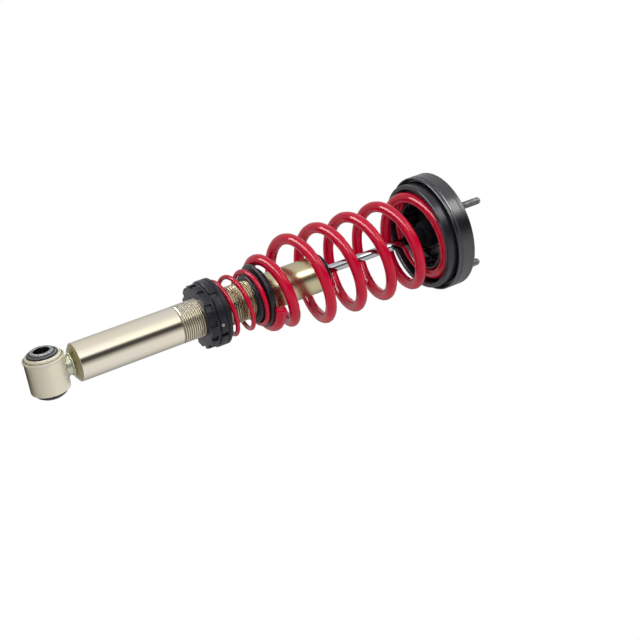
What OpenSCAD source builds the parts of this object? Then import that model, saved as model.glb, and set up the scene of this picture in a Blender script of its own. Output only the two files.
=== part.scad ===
// Adjustable coilover for a full-size pickup: an eye-mounted monotube damper with
// a threaded body, a helper spring and a main spring in series, and a three-stud
// top mount. +Z runs from the lower eye up to the top mount, +X along the bolt
// through the eye, and the origin is the centre of that bolt's bore. Millimetres.
// The damper is drawn fully extended.

/* [Overall] */
// Share of the stroke taken by the main spring
main_travel = 116; // [100:1:120]
// Share of the stroke taken by the helper spring
helper_travel = 24; // [16:1:26]
// Height adjustment that the threaded collar gives
height_travel = 12; // [6:1:14]

/* [Lower eye] */
// Outside diameter of the lower eye
eye_od = 50.4; // [49:0.2:54]
// Length of the eye along its bolt
eye_width = 45.2; // [43:0.2:48]
// Wall of the eye
eye_wall = 5.2; // [4.6:0.1:5.6]
// Width of the rolled rim at the eye's flanged end
eye_lip = 2.4; // [1.8:0.2:3]
// How far the rolled rim stands out of the eye
lip_proud = 1.1; // [0.5:0.1:1.5]
// How far the bush's steel shell stands out of the flanged end
shell_proud = 2.4; // [1.6:0.2:3]
// Outside diameter of the steel sleeve in the rubber bush
sleeve_od = 30; // [28:0.5:33]
// Length of the steel sleeve
sleeve_length = 63; // [61:1:68]
// Bore of the sleeve, for the lower bolt
bolt_bore = 20.5; // [16:0.5:22]
// How far the rubber bush stands out beyond its steel shell
rubber_proud = 4.4; // [3:0.2:5]
// Diameter of the weld neck between the eye and the damper tube
neck_od = 26; // [22:1:30]
// Gap that the weld neck bridges
neck_gap = 6.3; // [5:0.1:8]

/* [Damper tube] */
// Outside diameter of the damper tube
tube_od = 50.8; // [49:0.2:52]
// Wall of the damper tube
tube_wall = 2.9; // [2.5:0.1:3.3]
// Length of the damper tube
tube_length = 355; // [345:1:362]
// Height of the chamfered base cap under the tube
cap_chamfer = 6.4; // [5:0.2:8]
// Length of the base cap's plug inside the tube
cap_plug = 13; // [8:1:18]
// Start of the thread above the tube's lower end
thread_start = 140; // [130:1:150]
// Length of the thread
thread_length = 130; // [124:2:134]
// Pitch of the thread
thread_pitch = 3; // [2:0.5:4]
// How far the thread's crests stand out of the tube
thread_proud = 0.35; // [0.2:0.05:0.6]
// Depth of the thread
thread_depth = 1.1; // [0.8:0.1:1.4]
// Thickness of the black cap on the tube's top
seal_cap_height = 6; // [4:0.5:7]

/* [Damper inside] */
// Diameter of the damper rod
rod_d = 12.5; // [12:0.5:14]
// Diameter of the rod's lower end, which carries the piston
spigot_d = 8; // [7:0.5:9]
// Length of the piston
piston_length = 14; // [12:1:16]
// Height of the piston's sealing band
band_height = 8; // [6:0.5:9]
// Thickness of one shim
shim_thick = 0.3; // [0.2:0.05:0.4]
// Number of shims in each stack
shim_count = 4; // [3:1:5]
// Radius of the largest shim
shim_r = 18; // [16:0.5:19]
// Height of the piston nut
piston_nut_height = 8; // [6:0.5:10]
// Across flats of the piston nut
piston_nut_af = 13; // [11:1:15]
// Length of the rebound bumper between the piston and the rod guide
rebound_length = 9; // [7:1:12]
// Length of the rod guide
guide_length = 10; // [8:1:14]
// Height of the rod seal over the guide
seal_height = 3; // [2:0.5:4]
// Thickness of the ring that holds guide and seal down
ring_thick = 1.5; // [1:0.25:2]
// Length of the floating gas piston
gas_piston_length = 14; // [12:1:18]
// Length of the gas chamber under the floating piston
gas_length = 38; // [30:1:50]

/* [Spring seats] */
// Height of the lock ring's underside over the tube's lower end
collar_height = 170.6; // [162:0.2:176]
// Outside diameter of the castellated lock ring
lock_od = 86.4; // [82:0.2:88]
// Height of the lock ring
lock_height = 12.2; // [10:0.2:14]
// Number of lugs round the lock ring
lug_count = 12; // [8:1:14]
// Width of the gap between two lugs
lug_gap = 9; // [7:0.5:11]
// Outside diameter of the adjusting collar
collar_od = 90.8; // [89:0.2:93]
// Height of the adjusting collar
collar_body = 16; // [14:0.2:18]
// Number of spanner slots in the adjusting collar
slot_count = 5; // [4:1:8]
// Width of a spanner slot
slot_width = 6.5; // [5:0.5:8]
// Depth of the lugs and spanner slots
notch_depth = 3.4; // [2.5:0.1:3.8]
// Outside diameter of the thrust washer on the collar
washer_od = 84; // [82:0.5:88]
// Thickness of the thrust washer
washer_thick = 2; // [1.5:0.25:3]
// Outside diameter of the coupler's flange
flange_od = 87.6; // [85:0.2:90]
// Thickness of the coupler's flange
flange_thick = 4.4; // [4:0.2:5.4]
// Length of the coupler's sleeve inside the helper spring
coupler_skirt = 12; // [8:0.5:14]
// Length of the coupler's hub inside the main spring
coupler_hub = 7; // [5:0.5:9]

/* [Springs] */
// Space that the helper spring fills between its seats
helper_length = 56.5; // [52:0.5:59]
// Wire of the helper spring
helper_wire = 6.2; // [5:0.2:6.6]
// Mean coil diameter of the helper spring
helper_coil_d = 75.2; // [74:0.2:77]
// Wire of the main spring
main_wire = 15.2; // [13:0.2:15.8]
// Mean coil diameter of the main spring's body
main_coil_d = 120.4; // [116:0.2:122]
// Mean coil diameter of the small coil on the coupler
main_low_d = 91; // [90.6:0.2:95]
// Mean coil diameter of the coil in the rubber seat
main_top_d = 115; // [113:0.5:116.5]

/* [Top mount] */
// Outside diameter of the top mount
mount_od = 164.8; // [162:0.2:168]
// Depth of the mount's shell, from its lower rim to the bearing face
shell_depth = 27.4; // [27:0.1:28]
// Sheet of the mount's shell and plate
sheet = 3; // [2.5:0.25:3.25]
// How far the rubber spring seat hangs under the shell
seat_hang = 13.6; // [12:0.1:15]
// Depth of the pocket that the main spring's last coil sits in
pocket_depth = 20; // [19:0.25:21]
// Outer radius of that pocket
pocket_r = 68.5; // [67.5:0.25:69.5]
// Share of the rubber between pocket and shell that also shows under the shell
seat_fill = 0.61; // [0.5:0.01:0.8]
// Diameter of the dome's foot
dome_od = 76; // [72:1:78]
// Height of the dome over the bearing face
dome_height = 30.5; // [28:0.5:32]
// Diameter of the recess in the dome's top
recess_d = 27; // [26:0.5:28]
// Depth of that recess
recess_depth = 4.5; // [3:0.5:5]
// Depth of the plate's flat ring under the bearing face
plate_drop = 2.5; // [1.5:0.25:3]
// Depth of the plate's inner ring, round the dome, under the bearing face
inner_drop = 5; // [4.5:0.25:6]
// Diameter of the mounting studs
stud_d = 10; // [9:0.5:10.5]
// Length of a stud over its pad
stud_length = 39; // [34:1:42]
// Diameter of the circle through the studs
stud_circle_d = 125; // [123:0.5:126]
// Angle between the two studs that stand closer together
stud_pair_angle = 104; // [96:1:120]
// Heading of the stud that stands opposite that pair
stud_heading = 100; // [0:1:359]
// Diameter of a stud's pad
pad_d = 25; // [20:0.5:26]
// Thread diameter of the rod's top
rod_top_d = 10; // [9:0.5:10]
// Across flats of the rod nut
rod_nut_af = 17; // [16:0.5:17]
// Height of the rod nut
rod_nut_height = 9; // [7:0.5:10]
// How far the rod stands out of its nut
rod_proud = 9; // [6:0.5:12]
// Across flats of the socket in the rod's end
rod_socket_af = 5; // [4:0.5:5.5]
// Outside diameter of the spacer that the rod nut clamps
spacer_od = 20; // [18:0.5:21]
// Outside diameter of the bump stop
bump_od = 38; // [32:1:40]
// Length of the bump stop
bump_length = 30.6; // [26:0.2:34]

/* [Clearances] */
// Radial play of parts that turn or slide in each other
fit_gap = 0.05; // [0.03:0.01:0.08]
// Play between neighbours that only stand near each other
air_gap = 0.3; // [0.3:0.05:0.5]
// Least gap between bump stop and damper at full stroke
bump_gap = 1; // [0.5:0.25:2]

/* [Hidden] */
$fn = 96;
eps = 0.01;

// Lower eye
eye_r = eye_od / 2;
eye_bore_r = eye_r - eye_wall;
eye_end = eye_width / 2;
shell_end = eye_end + shell_proud;
shell_r = eye_bore_r + 3.6;
neck_r = neck_od / 2;
cap_z = eye_r + neck_gap;

// Damper tube
tube_r = tube_od / 2;
tube_in_r = tube_r - tube_wall;
tube_z = cap_z + cap_chamfer;
tube_top_z = tube_z + tube_length;
plug_z = tube_z + cap_plug;
crest_r = tube_r + thread_proud;
root_r = crest_r - thread_depth;
thread_z = tube_z + thread_start;
thread_turns = floor(thread_length / thread_pitch);
rod_r = rod_d / 2;
spigot_r = spigot_d / 2;

// Stack under the black cap, from the top down
cap_spigot = 4;
cap_top_z = tube_top_z + seal_cap_height;
ring_z = tube_top_z - cap_spigot - ring_thick;
seal_z = ring_z - seal_height;
guide_z = seal_z - guide_length;

// Piston on the rod, from the guide down
shim_gap = 0.05;
stack_height = shim_count * (shim_thick + shim_gap) + shim_gap;
bumper_z = guide_z - air_gap - rebound_length;
piston_top_z = bumper_z - stack_height;
piston_z = piston_top_z - piston_length;
nut_top_z = piston_z - stack_height;
nut_z = nut_top_z - piston_nut_height;
band_depth = 2;
gas_z = plug_z + gas_length;
gas_ring_height = 4;

// Collar, perch and coupler, from the lock ring up
lock_z = tube_z + collar_height;
collar_z = lock_z + lock_height;
washer_z = collar_z + collar_body;
perch_z = washer_z + washer_thick;
flange_z = perch_z + helper_length;
flange_top_z = flange_z + flange_thick;
collar_bore_r = crest_r + fit_gap;
coupler_bore_r = crest_r + air_gap + 0.2;
screw_z = collar_z + collar_body * 0.2;
screw_heading = 273;
lug_heading = 27;
screw_r = 2.5;
screw_length = 8;

// Top mount. The travels and the bump stop put it over the damper; its own
// faces follow from the bearing face down.
bump_z = cap_top_z + main_travel + helper_travel + height_travel + bump_gap;
washer_under_z = bump_z + bump_length;
lower_washer_thick = 2.5;
spacer_z = washer_under_z + lower_washer_thick;
inner_z = spacer_z + 2 * sheet;
face_z = inner_z + inner_drop;
mount_r = mount_od / 2;
shell_z = face_z - shell_depth;
plate_under_z = face_z - plate_drop - sheet;
web_z = inner_z - 3 * sheet;
seat_z = shell_z - seat_hang + pocket_depth;
seat_low_z = shell_z - seat_hang;
shell_wall = 2.5;
shell_in_r = mount_r - shell_wall;
shell_groove = 1;
shell_lip = 3.6;
shell_groove_width = 3.8;
shell_bead_z = shell_z + shell_lip + shell_groove_width;
seat_r = pocket_r + seat_fill * (shell_in_r - pocket_r);
boss_r = main_top_d / 2 - main_wire / 2 - air_gap - 0.3;
boss_in_r = boss_r - 4.3;
dome_r = dome_od / 2;
recess_r = recess_d / 2;
dome_top_z = face_z + dome_height;
recess_z = dome_top_z - recess_depth;
step_r = dome_r + 4 * sheet;
crown = [
    [dome_r, inner_z], [0.985 * dome_r, inner_z + 0.06 * dome_height],
    [0.92 * dome_r, dome_top_z - 0.43 * dome_height],
    [0.84 * dome_r, dome_top_z - 0.2 * dome_height],
    [0.68 * dome_r, dome_top_z - 0.05 * dome_height]
];
spacer_r = spacer_od / 2;
nut_washer_thick = 2.5;
nut_washer_z = recess_z + air_gap;
rod_nut_z = nut_washer_z + nut_washer_thick;
rod_end_z = rod_nut_z + rod_nut_height + rod_proud;
web_hole_r = 2.4 * spacer_r;
stud_shank_r = stud_d / 2 + 0.6;
stud_headings = [
    stud_heading,
    stud_heading + 180 - stud_pair_angle / 2,
    stud_heading + 180 + stud_pair_angle / 2
];

// Coils. Turns are counted from a spring's lower tip; each spring lies flat on
// its seats and climbs in between, at a rate that rises and falls evenly.
main_turns = 6.6;
main_rise = [0.36, 0.86, 5.7, 6.3];
main_tip = 282;
main_rings = 24;
helper_turns = 3.4;
helper_rise = [0.45, 0.8, 2.6, 2.95];
helper_tip = 342;
helper_rings = 20;
wire_sides = 8;
main_z0 = flange_top_z + main_wire / 2;
main_z1 = seat_z - main_wire / 2;
helper_z0 = perch_z + helper_wire / 2;
helper_z1 = flange_z - helper_wire / 2;

function ease(x) = let (u = min(1, max(0, x))) u * u * (3 - 2 * u);

// Turns climbed at n when the rate ramps up from a to b and down from c to d
function ramp(n, a, b) =
    n <= a ? 0 : n >= b ? n - (a + b) / 2 : (n - a) * (n - a) / (2 * (b - a));
function climbed(n, k) = ramp(n, k[0], k[1]) - ramp(n, k[2], k[3]);
function coil_z(n, k, turns, z0, z1) =
    z0 + (z1 - z0) * climbed(n, k) / climbed(turns, k);

function main_radius(n) =
    main_low_d / 2
    + (main_coil_d - main_low_d) / 2 * ease((n - 0.9) / 0.9)
    - (main_coil_d - main_top_d) / 2 * ease((n - 5.2) / 0.9);

function polar(r, a, z) = [r * cos(a), r * sin(a), z];
function main_point(n) = polar(main_radius(n), main_tip + 360 * n,
    coil_z(n, main_rise, main_turns, main_z0, main_z1));
function helper_point(n) = polar(helper_coil_d / 2, helper_tip + 360 * n,
    coil_z(n, helper_rise, helper_turns, helper_z0, helper_z1));

main_path = [for (i = [0 : main_turns * main_rings]) main_point(i / main_rings)];
helper_path = [for (i = [0 : helper_turns * helper_rings])
    helper_point(i / helper_rings)];

function unit(v) = v / norm(v);
function heading(path, i) = unit(path[min(i + 1, len(path) - 1)] - path[max(i - 1, 0)]);

// One cross-section of a wire: a polygon square to the path
function wire_ring(path, i, r) =
    let (
        along = heading(path, i),
        side = unit(cross(along, [0, 0, 1])),
        up = cross(side, along)
    )
    [for (s = [0 : wire_sides - 1])
        let (a = 360 * s / wire_sides) path[i] + r * (cos(a) * side + sin(a) * up)];

// Least gap between neighbouring turns, from points a turn apart
function turn_gap(path, rings, wire) =
    min([for (i = [0 : len(path) - 1], j = [i + rings - 4 : i + rings + 4])
        if (j < len(path)) norm(path[j] - path[i]) - wire]);

echo("least gap between turns, main spring", turn_gap(main_path, main_rings, main_wire));
echo("least gap between turns, helper spring",
    turn_gap(helper_path, helper_rings, helper_wire));

module wire(path, r) {
    rings = [for (i = [0 : len(path) - 1]) wire_ring(path, i, r)];
    last = len(path) - 1;
    points = [for (ring = rings) for (p = ring) p];
    walls = [for (i = [0 : last - 1], s = [0 : wire_sides - 1])
        let (
            a = i * wire_sides + s,
            b = i * wire_sides + (s + 1) % wire_sides,
            c = a + wire_sides,
            d = b + wire_sides
        )
        for (face = [[a, c, b], [b, c, d]]) face];
    tip = [for (s = [1 : wire_sides - 2]) [0, s, s + 1]];
    tail = [for (s = [1 : wire_sides - 2])
        [last * wire_sides, last * wire_sides + s + 1, last * wire_sides + s]];
    polyhedron(points = points, faces = concat(walls, tip, tail));
}

// A ring with a square section, from z to z + height
module ring(r_out, r_in, z, height) {
    translate([0, 0, z])
        difference() {
            cylinder(r = r_out, h = height);
            translate([0, 0, -1]) cylinder(r = r_in, h = height + 2);
        }
}

// A ring turned about the eye's bolt, centred on the origin
module cross_ring(r_out, r_in, length) {
    rotate([0, 90, 0]) ring(r_out, r_in, -length / 2, length);
}

module hexagon(af, height) {
    cylinder(r = af / sqrt(3), h = height, $fn = 6);
}

// ---- Lower eye ----

// One half of a profile that is the same on both sides of the eye's middle
function both_ways(half) = concat(
    half, [for (i = [len(half) - 1 : -1 : 0]) [half[i].x, -half[i].y]]);

module eye_ring() {
    foot_z = sqrt(eye_r * eye_r - neck_r * neck_r) - 1;
    color("#d6cda4")
        difference() {
            union() {
                rotate([0, 90, 0])
                    rotate_extrude()
                        polygon([
                            [eye_bore_r, -shell_end], [shell_r - 0.8, -shell_end],
                            [shell_r, 0.8 - shell_end], [shell_r, 0.2 - eye_end],
                            [eye_r - 0.4, -eye_end],
                            [eye_r + lip_proud, 0.5 * eye_lip - eye_end],
                            [eye_r + lip_proud, 1.1 * eye_lip - eye_end],
                            [eye_r, 1.8 * eye_lip - eye_end], [eye_r, eye_end - 1],
                            [eye_r - 1, eye_end], [eye_bore_r, eye_end]
                        ]);
                translate([0, 0, foot_z])
                    cylinder(r = neck_r, h = cap_z - foot_z);
            }
            rotate([0, 90, 0])
                cylinder(r = eye_bore_r, h = 2 * shell_end + 2, center = true);
        }
}

module eye_bushing() {
    bore = sleeve_od / 2 + fit_gap;
    tip = shell_end + rubber_proud;
    ledge = shell_end + 0.6 * rubber_proud;
    ledge_r = 0.52 * eye_bore_r + 0.48 * bore;
    color("#2f3438")
        rotate([0, 90, 0])
            rotate_extrude()
                polygon(both_ways([
                    [bore, tip], [ledge_r, tip], [ledge_r + 0.4, ledge],
                    [eye_bore_r - 0.6, ledge], [eye_bore_r, shell_end]
                ]));
}

module bushing_sleeve() {
    half = sleeve_length / 2;
    r = sleeve_od / 2;
    bore = bolt_bore / 2;
    edge = 1.2;
    color("#c9cbcc")
        rotate([0, 90, 0])
            rotate_extrude()
                polygon([
                    [bore, -half], [r - edge, -half], [r, -half + edge],
                    [r, half - edge], [r - edge, half], [bore, half]
                ]);
}

// ---- Damper ----

module base_cap() {
    foot_r = 0.57 * tube_r;
    knee_r = 0.777 * tube_r;
    color("#cfc69c")
        rotate_extrude()
            polygon([
                [0, cap_z], [foot_r, cap_z], [knee_r, cap_z + cap_chamfer / 3],
                [tube_r, tube_z],
                [tube_in_r, tube_z], [tube_in_r, plug_z], [0, plug_z]
            ]);
}

module damper_tube() {
    thread = [for (i = [0 : thread_turns - 1])
        let (z = thread_z + i * thread_pitch)
        for (p = [
            [root_r, z + 0.1 * thread_pitch], [crest_r, z + 0.4 * thread_pitch],
            [crest_r, z + 0.7 * thread_pitch], [root_r, z + thread_pitch]
        ]) p];
    thread_end_z = thread_z + thread_turns * thread_pitch;
    color("#d9d2b0")
        rotate_extrude()
            polygon(concat(
                [[tube_in_r, tube_top_z], [tube_in_r, tube_z], [tube_r, tube_z],
                    [tube_r, thread_z]],
                thread,
                [[tube_r, thread_end_z + 0.2], [tube_r, tube_top_z]]));
}

module floating_piston() {
    groove_z = gas_z + gas_piston_length / 2;
    color("#b9bcc0")
        difference() {
            translate([0, 0, gas_z])
                cylinder(r = tube_in_r - fit_gap, h = gas_piston_length);
            translate([0, 0, gas_z - 1])
                cylinder(r = tube_in_r - 7, h = gas_piston_length - 3);
            ring(tube_in_r + 1, tube_in_r - 2.5,
                groove_z - gas_ring_height / 2, gas_ring_height);
        }
}

module floating_piston_ring() {
    groove_z = gas_z + gas_piston_length / 2;
    color("#202224")
        ring(tube_in_r - fit_gap, tube_in_r - 2.5,
            groove_z - gas_ring_height / 2, gas_ring_height);
}

module piston() {
    body_r = tube_in_r - 0.6;
    color("#b4b0a4")
        difference() {
            translate([0, 0, piston_z]) cylinder(r = body_r, h = piston_length);
            translate([0, 0, piston_z - 1])
                cylinder(r = spigot_r, h = piston_length + 2);
            ring(body_r + 1, tube_in_r - band_depth,
                piston_z + (piston_length - band_height) / 2, band_height);
            for (i = [0 : 5])
                rotate([0, 0, 60 * i])
                    translate([shim_r - 4, 0, piston_z - 1])
                        cylinder(r = 2.2, h = piston_length + 2, $fn = 32);
        }
}

module piston_band() {
    color("#8a7a52")
        ring(tube_in_r - fit_gap, tube_in_r - band_depth,
            piston_z + (piston_length - band_height) / 2, band_height);
}

// Shims taper from the largest against the piston to the smallest
module shim_stack(start_z, direction) {
    for (i = [0 : shim_count - 1]) {
        offset_z = shim_gap + i * (shim_thick + shim_gap);
        low_z = direction > 0 ? start_z + offset_z : start_z - offset_z - shim_thick;
        ring(shim_r - 2 * i, spigot_r, low_z, shim_thick);
    }
}

module compression_shims() {
    color("#9aa0a6") shim_stack(piston_top_z, 1);
}

module rebound_shims() {
    color("#9aa0a6") shim_stack(piston_z, -1);
}

module piston_nut() {
    color("#8f949a")
        difference() {
            translate([0, 0, nut_z]) hexagon(piston_nut_af, piston_nut_height);
            translate([0, 0, nut_z - 1]) cylinder(r = spigot_r, h = piston_nut_height + 2);
        }
}

module rebound_bumper() {
    color("#a8762c")
        ring(rod_r + 5, rod_r, bumper_z, rebound_length);
}

module damper_rod() {
    color("#e4e6e8")
        difference() {
            union() {
                translate([0, 0, nut_z - 1])
                    cylinder(r = spigot_r, h = bumper_z - nut_z + 1 + eps);
                translate([0, 0, bumper_z])
                    cylinder(r = rod_r, h = washer_under_z - bumper_z);
                translate([0, 0, washer_under_z - eps])
                    cylinder(r = rod_top_d / 2, h = rod_end_z - washer_under_z + eps);
            }
            translate([0, 0, rod_end_z - 6]) hexagon(rod_socket_af, 7);
        }
}

module rod_guide() {
    color("#aeb2b6")
        ring(tube_in_r, rod_r + fit_gap, guide_z, guide_length);
}

module rod_seal() {
    color("#232527")
        ring(tube_in_r, rod_r + fit_gap, seal_z, seal_height);
}

module retaining_ring() {
    color("#7d8288")
        ring(tube_in_r, tube_in_r - 4, ring_z, ring_thick);
}

module seal_cap() {
    color("#202326")
        rotate_extrude()
            polygon([
                [rod_r + air_gap, ring_z + ring_thick],
                [tube_in_r, ring_z + ring_thick], [tube_in_r, tube_top_z],
                [tube_r + 0.4, tube_top_z], [tube_r + 0.4, cap_top_z - 1.2],
                [tube_r - 0.8, cap_top_z], [rod_r + air_gap, cap_top_z]
            ]);
}

// ---- Height adjustment ----

module lock_ring() {
    lug_height = lock_height * 0.66;
    color("#24272b")
        difference() {
            ring(lock_od / 2, collar_bore_r, lock_z, lock_height);
            for (i = [0 : lug_count - 1])
                rotate([0, 0, 360 / lug_count * i + lug_heading])
                    translate([lock_od / 2 - notch_depth, -lug_gap / 2, lock_z - 1])
                        cube([notch_depth + 2, lug_gap, lug_height + 1]);
        }
}

module adjusting_collar() {
    r = collar_od / 2;
    edge = 1;
    groove_z = collar_z + collar_body * 0.55;
    color("#26292d")
        difference() {
            rotate_extrude()
                polygon([
                    [collar_bore_r, collar_z], [r - edge, collar_z],
                    [r, collar_z + edge], [r, groove_z], [r - 1.2, groove_z + 0.8],
                    [r - 1.2, groove_z + 1.6], [r, groove_z + 2.4],
                    [r, washer_z - edge], [r - edge, washer_z],
                    [collar_bore_r, washer_z]
                ]);
            for (i = [0 : slot_count - 1])
                rotate([0, 0, 360 / slot_count * i + screw_heading + 18])
                    translate([r - notch_depth, -slot_width / 2, collar_z - 1])
                        cube([notch_depth + 2, slot_width, collar_body * 0.55 + 1]);
            rotate([0, 0, screw_heading])
                translate([r - screw_length - 0.6, 0, screw_z])
                    rotate([0, 90, 0]) cylinder(r = screw_r, h = screw_length + 2);
        }
}

module collar_screw() {
    color("#b9bdc1")
        rotate([0, 0, screw_heading])
            translate([collar_od / 2 - screw_length - 0.6, 0, screw_z])
                rotate([0, 90, 0])
                    difference() {
                        cylinder(r = screw_r, h = screw_length);
                        translate([0, 0, screw_length - 2]) hexagon(2.5, 3);
                    }
}

module thrust_washer() {
    color("#33373b")
        ring(washer_od / 2, crest_r + air_gap, washer_z, washer_thick);
}

// ---- Springs and coupler ----

module helper_spring() {
    color("#c1143a") wire(helper_path, helper_wire / 2);
}

module main_spring() {
    color("#c1143a") wire(main_path, main_wire / 2);
}

module spring_coupler() {
    skirt_r = helper_coil_d / 2 - helper_wire / 2 - 1;
    hub_r = main_low_d / 2 - main_wire / 2 - 1;
    flange_r = flange_od / 2;
    edge = 0.8;
    color("#1d2023")
        rotate_extrude()
            polygon([
                [coupler_bore_r, flange_z - coupler_skirt],
                [skirt_r - edge, flange_z - coupler_skirt],
                [skirt_r, flange_z - coupler_skirt + edge],
                [skirt_r, flange_z], [flange_r - edge, flange_z],
                [flange_r, flange_z + edge], [flange_r, flange_top_z - edge],
                [flange_r - edge, flange_top_z], [hub_r, flange_top_z],
                [hub_r, flange_top_z + coupler_hub - edge],
                [hub_r - edge, flange_top_z + coupler_hub],
                [coupler_bore_r, flange_top_z + coupler_hub]
            ]);
}

// ---- Top mount ----

module spring_isolator() {
    rib_count = 20;
    boss_low_z = seat_low_z + 6;
    recess_top_z = shell_bead_z - 0.4;
    wall = seat_r - pocket_r;
    color("#2b2f33")
        union() {
            rotate_extrude()
                polygon([
                    [boss_in_r, boss_low_z], [boss_r, boss_low_z],
                    [boss_r, seat_z], [pocket_r, seat_z],
                    [pocket_r, seat_low_z + 1.5],
                    [pocket_r + 0.2 * wall, seat_low_z],
                    [seat_r - 0.28 * wall, seat_low_z],
                    [seat_r - 0.07 * wall, seat_low_z + 0.6],
                    [seat_r, seat_low_z + 2], [seat_r, recess_top_z],
                    [shell_in_r, recess_top_z], [shell_in_r, web_z],
                    [boss_in_r, web_z]
                ]);
            for (i = [0 : rib_count - 1])
                rotate([0, 0, 360 / rib_count * i])
                    translate([boss_in_r - 2.5, -1.2, boss_low_z + 3.5])
                        cube([3.5, 2.4, web_z - boss_low_z - 3.5]);
        }
}

module mount_shell() {
    wall_top_z = plate_under_z;
    groove_z = shell_z + shell_lip;
    color("#23262a")
        rotate_extrude()
            polygon([
                [shell_in_r + 0.8, shell_z], [mount_r - 1, shell_z],
                [mount_r, shell_z + shell_lip / 3], [mount_r, groove_z],
                [mount_r - shell_groove, groove_z + 0.37 * shell_groove_width],
                [mount_r - shell_groove, groove_z + 0.53 * shell_groove_width],
                [mount_r, shell_bead_z],
                [mount_r, wall_top_z], [shell_in_r, wall_top_z],
                [shell_in_r, web_z + sheet], [step_r + 3, web_z + sheet],
                [step_r - 1, inner_z - sheet], [web_hole_r, inner_z - sheet],
                [web_hole_r, inner_z - 2 * sheet], [step_r - 3, inner_z - 2 * sheet],
                [step_r + 1, web_z], [shell_in_r, web_z], [shell_in_r, shell_z + 0.8]
            ]);
}

// A point of the dome's inner side, from its outer side
function under_crown(p) =
    let (lean = (p.y - inner_z) / dome_height)
    [p.x - sheet * (1 - lean * lean / 2), p.y - sheet * lean * lean];

module top_plate() {
    rim = sheet;
    rim_round = 2.2;
    color("#1b1e22")
        difference() {
            union() {
                rotate_extrude()
                    polygon(concat(
                        [
                            [step_r - 1, inner_z - sheet], [step_r + 1, plate_under_z],
                            [mount_r, plate_under_z], [mount_r, face_z - rim_round],
                            [mount_r - 0.3 * rim_round, face_z - 0.3 * rim_round],
                            [mount_r - rim_round, face_z], [mount_r - 2.2 * rim, face_z],
                            [mount_r - 3.4 * rim, face_z - plate_drop],
                            [step_r + 2, face_z - plate_drop], [step_r, inner_z]
                        ],
                        crown,
                        [
                            [recess_r + 1.3 * sheet, dome_top_z],
                            [recess_r + sheet / 3, dome_top_z],
                            [recess_r, dome_top_z - sheet / 3],
                            [recess_r, recess_z], [spacer_r + 2 * air_gap, recess_z],
                            [spacer_r + 2 * air_gap, recess_z - sheet],
                            [recess_r + sheet, recess_z - sheet],
                            [recess_r + sheet, dome_top_z - sheet]
                        ],
                        [for (i = [len(crown) - 1 : -1 : 2]) under_crown(crown[i])],
                        [[dome_r - sheet, inner_z - sheet]]
                    ));
                for (a = stud_headings)
                    rotate([0, 0, a])
                        translate([stud_circle_d / 2, 0, plate_under_z])
                            cylinder(r = pad_d / 2, h = face_z - plate_under_z);
            }
            for (a = stud_headings)
                rotate([0, 0, a])
                    translate([stud_circle_d / 2, 0, plate_under_z - 1])
                        cylinder(r = stud_shank_r, h = face_z - plate_under_z + 2);
        }
}

module mount_studs() {
    head_r = stud_d * 0.8;
    head = 2.6;
    color("#9aa096")
        for (a = stud_headings)
            rotate([0, 0, a])
                translate([stud_circle_d / 2, 0, 0]) {
                    translate([0, 0, plate_under_z - head])
                        cylinder(r = head_r, h = head);
                    translate([0, 0, plate_under_z - eps])
                        cylinder(r = stud_shank_r, h = face_z - plate_under_z + eps);
                    translate([0, 0, plate_under_z])
                        cylinder(r = stud_d / 2, h = face_z + stud_length - 1 - plate_under_z);
                    translate([0, 0, face_z + stud_length - 1])
                        cylinder(r1 = stud_d / 2, r2 = stud_d / 2 - 1, h = 1);
                }
}

module mount_bushing() {
    color("#2b2e31")
        rotate_extrude()
            polygon([
                [spacer_r + fit_gap, spacer_z + air_gap],
                [web_hole_r - fit_gap, spacer_z + air_gap],
                [web_hole_r - fit_gap, inner_z - sheet], [dome_r - sheet, inner_z - sheet],
                under_crown(crown[2]), under_crown(crown[3]),
                [under_crown(crown[4]).x, under_crown(crown[3]).y],
                [recess_r + sheet, recess_z - sheet],
                [spacer_r + 2 * air_gap, recess_z - sheet],
                [spacer_r + fit_gap, recess_z - sheet - 1]
            ]);
}

module mount_spacer() {
    color("#a9adb0")
        ring(spacer_r, rod_top_d / 2, spacer_z, nut_washer_z - spacer_z);
}

module lower_washer() {
    color("#8c9094")
        ring(bump_od / 2 + 1, rod_top_d / 2, washer_under_z, lower_washer_thick);
}

module upper_washer() {
    color("#a3a7aa")
        ring(recess_r - 1, rod_top_d / 2, nut_washer_z, nut_washer_thick);
}

module rod_nut() {
    color("#b3b6b2")
        difference() {
            translate([0, 0, rod_nut_z]) hexagon(rod_nut_af, rod_nut_height);
            translate([0, 0, rod_nut_z - 1])
                cylinder(r = rod_top_d / 2, h = rod_nut_height + 2);
        }
}

module bump_stop() {
    r = bump_od / 2;
    length = bump_length;
    color("#1f2123")
        rotate_extrude()
            polygon([
                [rod_r, bump_z], [r * 0.62, bump_z], [r * 0.78, bump_z + length * 0.12],
                [r * 0.78, bump_z + length * 0.26], [r * 0.66, bump_z + length * 0.34],
                [r * 0.9, bump_z + length * 0.46], [r, bump_z + length * 0.6],
                [r, bump_z + length], [rod_r, bump_z + length]
            ]);
}

eye_ring();
eye_bushing();
bushing_sleeve();
base_cap();
damper_tube();
floating_piston();
floating_piston_ring();
piston();
piston_band();
compression_shims();
rebound_shims();
piston_nut();
rebound_bumper();
damper_rod();
rod_guide();
rod_seal();
retaining_ring();
seal_cap();
lock_ring();
adjusting_collar();
collar_screw();
thrust_washer();
helper_spring();
spring_coupler();
main_spring();
spring_isolator();
mount_shell();
top_plate();
mount_studs();
mount_bushing();
mount_spacer();
lower_washer();
upper_washer();
rod_nut();
bump_stop();
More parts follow.
